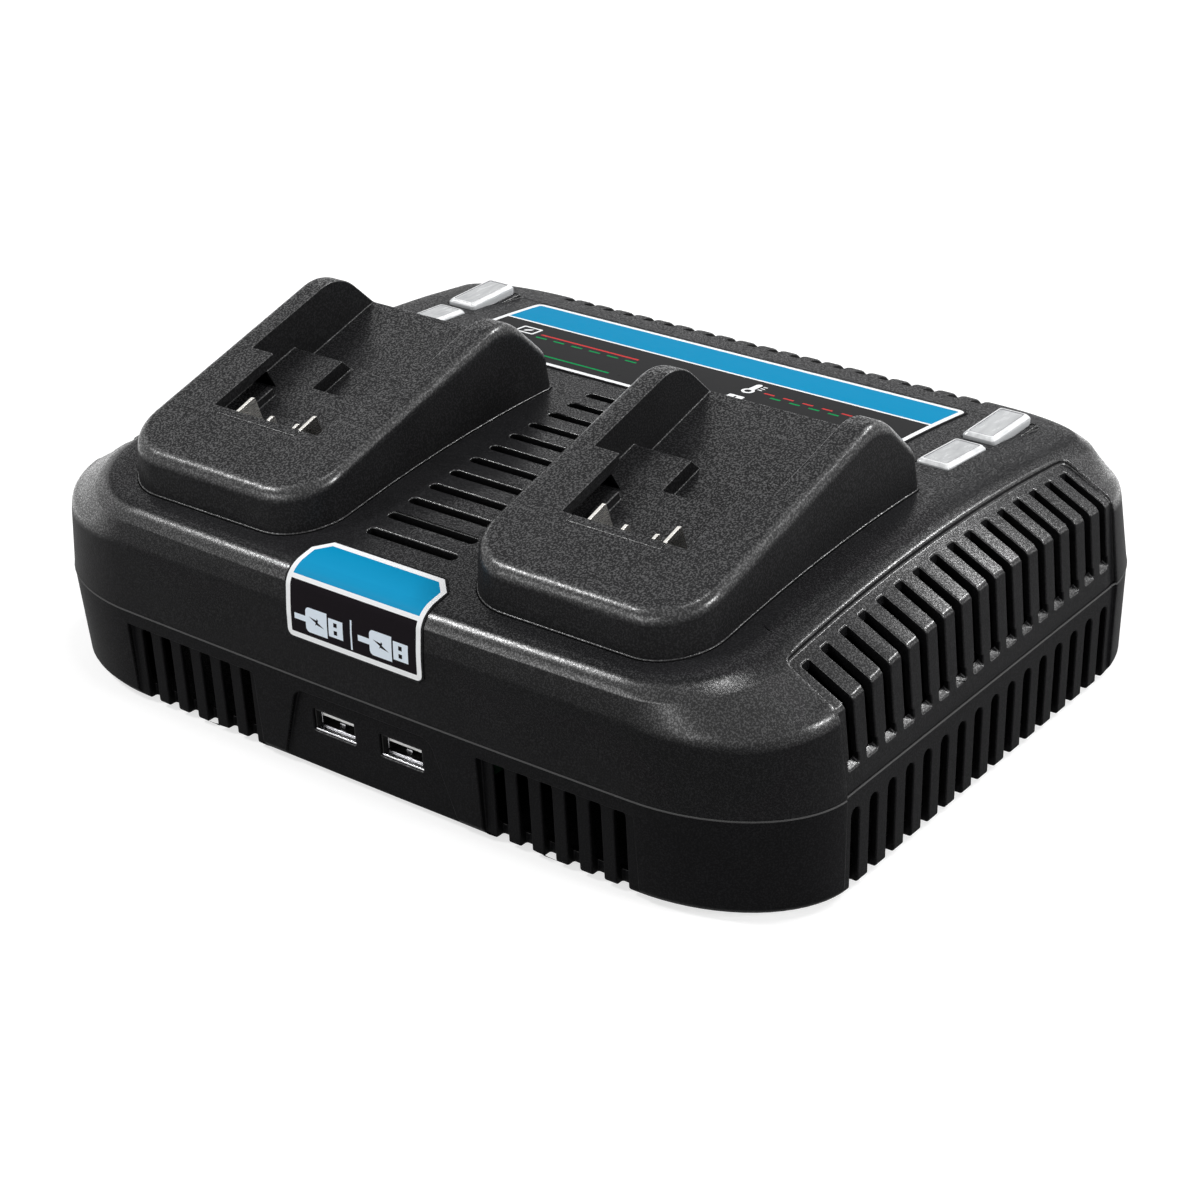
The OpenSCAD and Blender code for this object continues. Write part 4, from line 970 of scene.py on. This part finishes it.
def build_front_label(body, shape, finish):
    """Front label: a sheet that runs up the front wall and bends over the cover's edge, on the cover's
    middle profile, whose lengths are summed to place it"""
    curve = np.concatenate([cover_rows(body)[:, 0, 1:], [[-60, body.arch(-60.0)]]])
    run = np.r_[0, np.cumsum(np.linalg.norm(np.diff(curve, axis=0), axis=1))]
    start, stop = np.interp(FRONT_LOW, curve[:, 1], run), np.interp(FRONT_REACH, curve[:, 0], run)
    s, x = np.linspace(start, stop, 73), np.linspace(-FRONT_HALF, FRONT_HALF, 87)
    y, z = np.interp(s, run, curve[:, 0]), np.interp(s, run, curve[:, 1])
    bow = body.bow * (x / body.half_w) ** 2
    fade = np.clip((-76 - y) / 6, 0, 1)
    grid = xyz(x[None], y[:, None] + bow[None] * fade[:, None], z[:, None])
    cy = ((s[:-1] + s[1:]) / 2)[:, None]
    up, down, side = stop - cy, cy - start, FRONT_HALF - abs((x[:-1] + x[1:]) / 2)[None]
    keep = (up + side > FRONT_CUT) & ~past_corner(down, side)
    film = label_sheet("front_label_film", grid, shape.film / MM, keep)
    dress(film, front_print(finish, float(stop - start)), "label_film", "front_label")


def build_rear_label(body, shape, finish):
    """Rear label: a sheet laid on the arched top behind the docks"""
    x, y = np.linspace(-REAR_HALF, REAR_HALF, 142), np.linspace(REAR_Y0, REAR_Y1, 84)
    grid = xyz(x[None] + REAR_X, y[:, None], body.arch(y)[:, None])
    cy, side = ((y[:-1] + y[1:]) / 2)[:, None], REAR_HALF - abs((x[:-1] + x[1:]) / 2)[None]
    keep = ~past_corner(REAR_Y1 - cy, side) & ~past_corner(cy - REAR_Y0, side)
    film = label_sheet("rear_label_film", grid, shape.film / MM, keep)
    dress(film, rear_print(finish), "label_film", "rear_label")


# Inks of the labels: borders and signs, the clear film's edge over the black cover, and the plugs
WHITE, INK, PALE = (0.86, 0.87, 0.88), (0.02, 0.02, 0.021), (0.72, 0.8, 0.88)


def printed_film(name, width, height):
    """Look of a printed film, and the place on it in millimetres"""
    look = Look(name, (0.8, 0.8, 0.8), 0.3, Specular_IOR_Level=0.005)
    uv = look.node("ShaderNodeUVMap", {"uv_map": "print"})
    u = look.node("ShaderNodeSeparateXYZ", {}, uv) * width
    v = look.node("ShaderNodeSeparateXYZ", {}, uv, output=1) * height
    ripple = look.noise(0.004, 2.0, 0.5)
    look.put("Roughness", 0.3 + (ripple - 0.5) * 0.1)
    look.bump(ripple, 0.00002)
    return look, u, v


def bar(x, y, x0, x1, y0, y1):
    """1 inside an upright rectangle"""
    return x.span(x0, x1) * y.span(y0, y1)


def dashed(along, start, pitch, dash):
    """1 on dashes that follow at a pitch from the start"""
    return (along - start) % pitch < dash


def side_of(x, y, a, b):
    """1 to the left of the line from a to b"""
    return (y - a[1]) * (b[0] - a[0]) > (x - a[0]) * (b[1] - a[1])


def inside(x, y, *corners):
    """1 inside a convex outline whose corners run anticlockwise"""
    area = side_of(x, y, corners[-1], corners[0])
    for a, b in zip(corners, corners[1:]):
        area = area * side_of(x, y, a, b)
    return area


def rounded(x, y, half_x, half_y, r):
    """Distance outside a rectangle with round corners: length beyond the inner corner, less the radius"""
    dx, dy = (abs(x) - (half_x - r)).most(0.0), (abs(y) - (half_y - r)).most(0.0)
    return (dx * dx + dy * dy).math("POWER", 0.5) - r


def rear_print(finish):
    """Rear label: clear edge, white border, blue band at the rear, grey field with lines and pictograms"""
    look, u, v = printed_film("rear_label_print", 2 * REAR_HALF, REAR_Y1 - REAR_Y0)
    x, y = u - REAR_HALF, v + REAR_Y0
    band = 51.6
    out = rounded(x, y - (REAR_Y0 + REAR_Y1) / 2, REAR_HALF, (REAR_Y1 - REAR_Y0) / 2, 2.6) * -1
    field = out > BORDER
    ink = look.mix(field, WHITE, finish.label_grey)
    ink = look.mix(field * (y > band), ink, finish.label_blue)
    ink = look.mix(y.span(band - 0.8, band) * (out > 1.0), ink, WHITE)
    green = (dashed(x, -50.9, 6.13, 3.7) * bar(x, y, -51.2, -16.6, 41.2, 41.9)).most(
        bar(x, y, -50.9, -17.5, 30.6, 31.3)).most(
        dashed(x, 26.6, 5.95, 3.2) * bar(x, y, 26.5, 48.0, 41.3, 42.0))
    red = bar(x, y, -50.9, -17.5, 43.4, 44.2).most(
        dashed(x, 23.4, 5.95, 3.2) * bar(x, y, 23.3, 50.7, 43.3, 44.0))

    # Battery: a frame with a bolt of two triangles
    bx, by = x + 56.2, y - 44.8
    battery = (rounded(bx, by, 3.3, 2.5, 0.6) < 0) - (rounded(bx, by, 2.6, 1.8, 0.4) < 0)
    battery = battery.most(inside(x, y, (-57.6, 44.4), (-55.8, 44.4), (-55.2, 46.2)))
    battery = battery.most(inside(x, y, (-57.2, 43.4), (-54.8, 45.2), (-56.6, 45.2)))
    # Heat: a thermometer with three marks beside it; below it a small field with an upright bar, for a fault
    tx = x - 19.0
    from_bulb = tx * tx + (y - 42.6) * (y - 42.6)
    heat = (from_bulb < 3.2).most(rounded(tx, y - 46.0, 0.9, 2.6, 0.9) < 0) - (from_bulb < 0.9)
    heat = heat.most(dashed(y, 44.6, 1.3, 0.5) * bar(x, y, 20.5, 21.8, 44.5, 48.0))
    fault = (rounded(tx, y - 36.4, 2.4, 1.7, 0.5) < 0) - bar(x, y, 18.7, 19.3, 35.4, 37.4)

    ink = look.mix(green, ink, finish.label_green)
    ink = look.mix(red, ink, finish.label_red)
    ink = look.mix(battery.most(heat).most(fault), ink, WHITE)
    look.put("Base Color", look.mix(out < CLEAR_EDGE, ink, INK))
    return look.material


def front_print(finish, run):
    """Front label: clear edge, white border, blue top band, white line and a black field with two plugs"""
    look, u, v = printed_film("front_label_print", 2 * FRONT_HALF, run)
    x = u - FRONT_HALF
    line = run - 13.6
    out = rounded(x, v - run / 2, FRONT_HALF, run / 2, 2.2) * -1
    # Both upper corners are cut at 45 degrees; 0.707 turns the sum of two distances into one to the cut.
    out = out.least((FRONT_HALF - abs(x) + (run - v) - FRONT_CUT) * 0.707)
    field = out > BORDER
    pale = [min(1.0, c * 1.12 + 0.01) for c in finish.label_blue]
    ink = look.mix(field, WHITE, (0.012, 0.010, 0.012))
    ink = look.mix(field * (v > line + 0.5), ink, look.mix(v.ramp(line, run), pale, finish.label_blue))
    ink = look.mix(v.span(line - 0.6, line + 0.5) * (out > 1.0), ink, WHITE)

    # Two equal plugs; each has its cord, a round body with a bolt, and a shell with two holes.
    right = x > -0.4
    px, py = x - right * 20.35, v - right * 0.05 - run + 29.4
    body = (rounded(px + 11.0, py - 6.05, 4.0, 3.2, 1.2) < 0).most(bar(px, py, -10.5, -8.1, 2.95, 9.2))
    body = body * (px < -8.1)
    plug = body.most(bar(px, py, -7.6, -3.05, 3.75, 8.45)).most(bar(px, py, -18.6, -14.5, 5.3, 6.8))
    holes = bar(px, py, -6.0, -4.9, 6.5, 7.6).most(bar(px, py, -6.0, -4.9, 4.5, 5.6))
    bolt = inside(px, py, (-13.9, 7.0), (-11.2, 5.6), (-11.0, 6.5)).most(
        inside(px, py, (-9.0, 5.0), (-11.6, 6.4), (-11.8, 5.5)))
    bolt = bolt.most(inside(px, py, (-11.6, 5.5), (-10.9, 6.6), (-11.3, 7.1), (-12.0, 5.1)))
    art = (plug * (1 - holes) * (1 - bolt)).most(bar(x, v, -0.65, -0.15, 2.4, 10.0))
    look.put("Base Color", look.mix(out < CLEAR_EDGE, look.mix(art, ink, PALE), INK))
    return look.material


def lens_look():
    """Clear lens: pale border that catches the light, a thin dark step and a frosted middle, each from the
    inset of its points, which is 0 on the sides"""
    look = Look("lens_clear", (0.62, 0.63, 0.64), 0.12, Specular_IOR_Level=0.4, Coat_Weight=0.5,
                Coat_Roughness=0.08)
    rim = look.node("ShaderNodeAttribute", {"attribute_name": "rim"}, output=2)
    streak = look.stretched(0.0016, (1, 0.35, 1), 2.0, 0.5)
    pattern = streak.ramp(0.3, 0.7)
    middle = look.mix(pattern, (0.33, 0.34, 0.35), (0.46, 0.47, 0.48))
    border = look.mix(pattern, (0.60, 0.61, 0.62), (0.86, 0.87, 0.88))
    tint = look.mix(rim > 1.55, border, middle)
    tint = look.mix(rim.span(1.28, 1.55), tint, (0.16, 0.16, 0.17))
    look.put("Base Color", look.mix(rim < 0.12, tint, (0.42, 0.43, 0.44)))
    look.put("Roughness", streak.ramp(0.3, 0.7, 0.15, 0.3))
    look.bump(streak, 0.00004)
    return look.material


# ---- operators -----------------------------------------------------------

def measures(context):
    """The housing's outline, the user's sizes and the user's colours"""
    shape = context.scene.charger_shape
    return Body(shape), shape, context.scene.charger_finish


class CHARGER_OT_cover(bpy.types.Operator):
    """Build the cover with its slots"""
    bl_idname, bl_label, bl_options = "charger.cover", "Cover", {"REGISTER", "UNDO"}

    def execute(self, context):
        body, shape, finish = measures(context)
        build_cover(body, shape, moulded(
            "cover_plastic", finish.cover_black, finish.cover_grain, depth=0.00008, roughness=0.26,
            sheen=0.08, crown=0.16, painted_edge_highlight=1.2, lean=0.82, painted_top_light=2.2))
        return {"FINISHED"}


class CHARGER_OT_base(bpy.types.Operator):
    """Build the base with its recess and slots"""
    bl_idname, bl_label, bl_options = "charger.base", "Base", {"REGISTER", "UNDO"}

    def execute(self, context):
        body, shape, finish = measures(context)
        build_base(body, shape, moulded(
            "base_plastic", finish.base_black, finish.cover_grain, depth=0.00005, roughness=0.3,
            sheen=0.04, crown=0.05, painted_edge_highlight=0.6, lean=0.82, painted_top_light=1.0))
        return {"FINISHED"}


class CHARGER_OT_docks(bpy.types.Operator):
    """Build both battery docks, their terminal blocks and the seams around them"""
    bl_idname, bl_label, bl_options = "charger.docks", "Docks", {"REGISTER", "UNDO"}

    def execute(self, context):
        body, shape, finish = measures(context)
        material = moulded(
            "dock_plastic", finish.dock_black, finish.dock_grain, depth=0.00016, roughness=0.28,
            sheen=0.08, crown=0.3, painted_edge_highlight=1.2, lean=0.87, painted_top_light=1.7)
        for side, word in SIDES:
            build_dock(body, shape, material, side, word)
        for _, word in SIDES:
            block = f"terminal_block_{word}"
            dress(refined(block, 0.00025), material, "dock_plastic", block)
        # The parting bead takes the plain base plastic that came with the CAD.
        build_seams(body, material, bpy.data.materials["base_plastic"])
        return {"FINISHED"}


class CHARGER_OT_lenses(bpy.types.Operator):
    """Build the four indicator lenses"""
    bl_idname, bl_label, bl_options = "charger.lenses", "Lenses", {"REGISTER", "UNDO"}

    def execute(self, context):
        body, shape, _ = measures(context)
        material = lens_look()
        for side, word in SIDES:
            for rear, place in ((False, "front"), (True, "rear")):
                build_lens(body, shape, material, side, rear, f"lens_{word}_{place}")
        return {"FINISHED"}


class CHARGER_OT_labels(bpy.types.Operator):
    """Build both printed labels"""
    bl_idname, bl_label, bl_options = "charger.labels", "Labels", {"REGISTER", "UNDO"}

    def execute(self, context):
        build_rear_label(*measures(context))
        build_front_label(*measures(context))
        return {"FINISHED"}


class CHARGER_OT_metal(bpy.types.Operator):
    """Refine the blades and build the outlets"""
    bl_idname, bl_label, bl_options = "charger.metal", "Blades and outlets", {"REGISTER", "UNDO"}

    def execute(self, context):
        nickel = brushed("nickel", (0.78, 0.76, 0.72), 0.28, (1, 1, 6))
        steel = brushed("port_steel", (0.74, 0.74, 0.76), 0.25, (6, 1, 1))
        insert = plain("port_insert", (0.8, 0.8, 0.79), 0.4)
        # Near-black finish for the outlets' inner walls: painted shade in place of the shaded steel.
        lining = plain("port_painted_shade", (0.012, 0.012, 0.012), 0.6, Specular_IOR_Level=0.1)
        for _, word in SIDES:
            blades = f"terminal_blades_{word}"
            dress(refined(blades, 0.00015), nickel, "nickel", blades)
            build_port(word, steel, insert, lining)
        return {"FINISHED"}


# Inner parts, feet and screws by slot: colour, roughness, grain, depth of the bump, and share of tone;
# and for metals: colour, roughness and the stretch of the brush lines
PLAIN_SLOTS = {
    "circuit_board": ((0.02, 0.12, 0.05), 0.3, 0.002, 0.00003, 0.3),
    "ferrite": ((0.07, 0.07, 0.075), 0.6, 0.0006, 0.00004, 0.2),
    "winding_tape": ((0.7, 0.42, 0.05), 0.3, 0.003, 0.00005),
    "capacitor_sleeve": ((0.02, 0.025, 0.07), 0.3, 0.002, 0.00002),
    "component_black": ((0.02, 0.02, 0.02), 0.5, 0.0005, 0.00003),
    "copper_wire": ((0.5, 0.16, 0.05), 0.25, 0.001, 0.00008),
    "fuse_ceramic": ((0.8, 0.79, 0.75), 0.3),
    "gland_rubber": ((0.012, 0.012, 0.012), 0.65, 0.0005, 0.00002, 0.15),
    "foot_rubber": ((0.012, 0.012, 0.012), 0.7, 0.0006, 0.00003, 0.15),
}
METAL_SLOTS = {
    "sink_aluminium": ((0.75, 0.75, 0.77), 0.35, (8, 8, 1)),
    "screw_steel": ((0.6, 0.6, 0.62), 0.35, (4, 4, 1)),
}


class CHARGER_OT_inside(bpy.types.Operator):
    """Give the inner parts, the feet and the screws their finishes"""
    bl_idname, bl_label, bl_options = "charger.inside", "Inner parts", {"REGISTER", "UNDO"}

    def execute(self, context):
        looks = {slot: plain(slot, *row) for slot, row in PLAIN_SLOTS.items()}
        looks |= {slot: brushed(slot, *row) for slot, row in METAL_SLOTS.items()}
        for row in frame["record"]["subparts"]:
            if row["material_slot"] in looks:
                materials = frame["nodes"][row["node"]].data.materials
                materials.clear()
                materials.append(looks[row["material_slot"]])
        return {"FINISHED"}


class CHARGER_OT_stage(bpy.types.Operator):
    """Set the floor, the world, the lamps and the camera"""
    bl_idname, bl_label, bl_options = "charger.stage", "Stage", {"REGISTER", "UNDO"}

    def execute(self, context):
        build_floor()
        build_world(context.scene)
        for row in LAMPS:
            build_lamp(*row)
        build_camera(context.scene)
        return {"FINISHED"}


# ---- stage: metres and watts ---------------------------------------------

# Each lamp's name, place, size and power; all of them point at the middle of the charger
LAMPS = (
    ("key", (-0.85, -0.5, 1.12), (0.2, 0.24), 8.5),
    ("overhead", (0.2, -0.04, 1.3), (0.2, 0.12), 2.6),
    ("rear_right", (0.6, 0.95, 0.95), (0.7, 0.1), 11),
    ("rear_left", (-0.95, 1.15, 0.95), (0.8, 0.3), 1.5),
    ("right", (1.15, 0.1, 0.45), (0.4, 0.3), 8),
    ("front", (-0.3, -1.3, 0.4), (1.2, 0.6), 6),
)
LAMP_TARGET = Vector((0, 0, 0.05))
# Camera: focal length and sensor in millimetres, the render's side and the shift of its middle in pixels
FOCAL, SENSOR, RENDER_SIDE, SHIFT_X, SHIFT_Y = 81.02, 36.0, 1200, -1.5, -2.9
CAMERA_PLACE = (0.39591, -0.47626, 0.34195)
CAMERA_RIGHT, CAMERA_UP = (0.78554, 0.61716, -0.04630), (-0.25701, 0.39326, 0.88289)
CAMERA_BACK = (0.5630, -0.6816, 0.4675)


def build_floor():
    """White floor that keeps the shadow; what the camera sees of it glows, more so far from the charger"""
    mesh = bpy.data.meshes.new("floor")
    mesh.from_pydata([(-6, -6, 0), (6, -6, 0), (6, 6, 0), (-6, 6, 0)], [], [(0, 1, 2, 3)])
    look = Look("floor_white", (0.9, 0.9, 0.9), 0.9, Specular_IOR_Level=0.0, Emission_Strength=1.0)
    look.put("Base Color", look.tone((0.5, 0.5, 0.5), look.noise(0.5), 0.01))
    far = look.node("ShaderNodeVectorMath", {"operation": "LENGTH"}, look.place, output=1).ramp(0.6, 2.0)
    glow = look.mix(far, (0.66, 0.66, 0.66), (0.92, 0.92, 0.92))
    look.put("Emission Color", look.mix(look.seen(), (0, 0, 0), glow))
    mesh.materials.append(look.material)
    linked("floor", mesh)


def build_world(scene):
    """Grey light from all sides, and white where the camera looks past the floor"""
    scene.world = bpy.data.worlds.new("studio")
    tree = Tree(scene.world)
    grey, white = [tree.node("ShaderNodeBackground", {}, (c, c, c), 1.0) for c in (0.2, 1.0)]
    shown = tree.node("ShaderNodeMixShader", {}, tree.seen(), grey, white)
    tree.feed(tree.nodes["World Output"].inputs["Surface"], shown)


def build_lamp(name, place, size, power):
    """Soft rectangular lamp"""
    light = bpy.data.lights.new(name, "AREA")
    light.shape, light.size, light.size_y, light.energy = "RECTANGLE", *size, power
    lamp = linked(name, light)
    lamp.location = place
    lamp.rotation_euler = (LAMP_TARGET - Vector(place)).to_track_quat("-Z", "Y").to_euler()


def build_camera(scene):
    """Camera from its place and the directions of its right, top and back"""
    data = bpy.data.cameras.new("camera")
    data.lens, data.sensor_width = FOCAL, SENSOR
    data.shift_x, data.shift_y = SHIFT_X / RENDER_SIDE, SHIFT_Y / RENDER_SIDE
    data.clip_start, data.clip_end = 0.01, 50
    scene.camera = linked("camera", data)
    turn = Matrix([CAMERA_RIGHT, CAMERA_UP, CAMERA_BACK]).transposed().to_4x4()
    scene.camera.matrix_world = Matrix.Translation(CAMERA_PLACE) @ turn
    scene.view_settings.view_transform = "Standard"


class CHARGER_PT_panel(bpy.types.Panel):
    """Sizes and colours, and a button for each step"""
    bl_label, bl_idname = "Battery Charger", "CHARGER_PT_panel"
    bl_space_type, bl_region_type, bl_category = "VIEW_3D", "UI", "Charger"

    def draw(self, context):
        for group in (context.scene.charger_shape, context.scene.charger_finish):
            box = self.layout.box()
            for name in group.__annotations__:
                box.prop(group, name)
        for operator in STEPS:
            self.layout.operator(operator.bl_idname)


STEPS = (CHARGER_OT_cover, CHARGER_OT_base, CHARGER_OT_docks, CHARGER_OT_lenses, CHARGER_OT_labels,
         CHARGER_OT_metal, CHARGER_OT_inside, CHARGER_OT_stage)
CLASSES = (ChargerShape, ChargerFinish, *STEPS, CHARGER_PT_panel)


def register():
    for item in CLASSES:
        bpy.utils.register_class(item)
    bpy.types.Scene.charger_shape = bpy.props.PointerProperty(type=ChargerShape)
    bpy.types.Scene.charger_finish = bpy.props.PointerProperty(type=ChargerFinish)


def unregister():
    del bpy.types.Scene.charger_shape, bpy.types.Scene.charger_finish
    for item in reversed(CLASSES):
        bpy.utils.unregister_class(item)


def main():
    """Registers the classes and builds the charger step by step"""
    register()
    for step in STEPS:
        getattr(bpy.ops.charger, step.bl_idname.split(".")[1])()


if __name__ == "__main__":
    main()
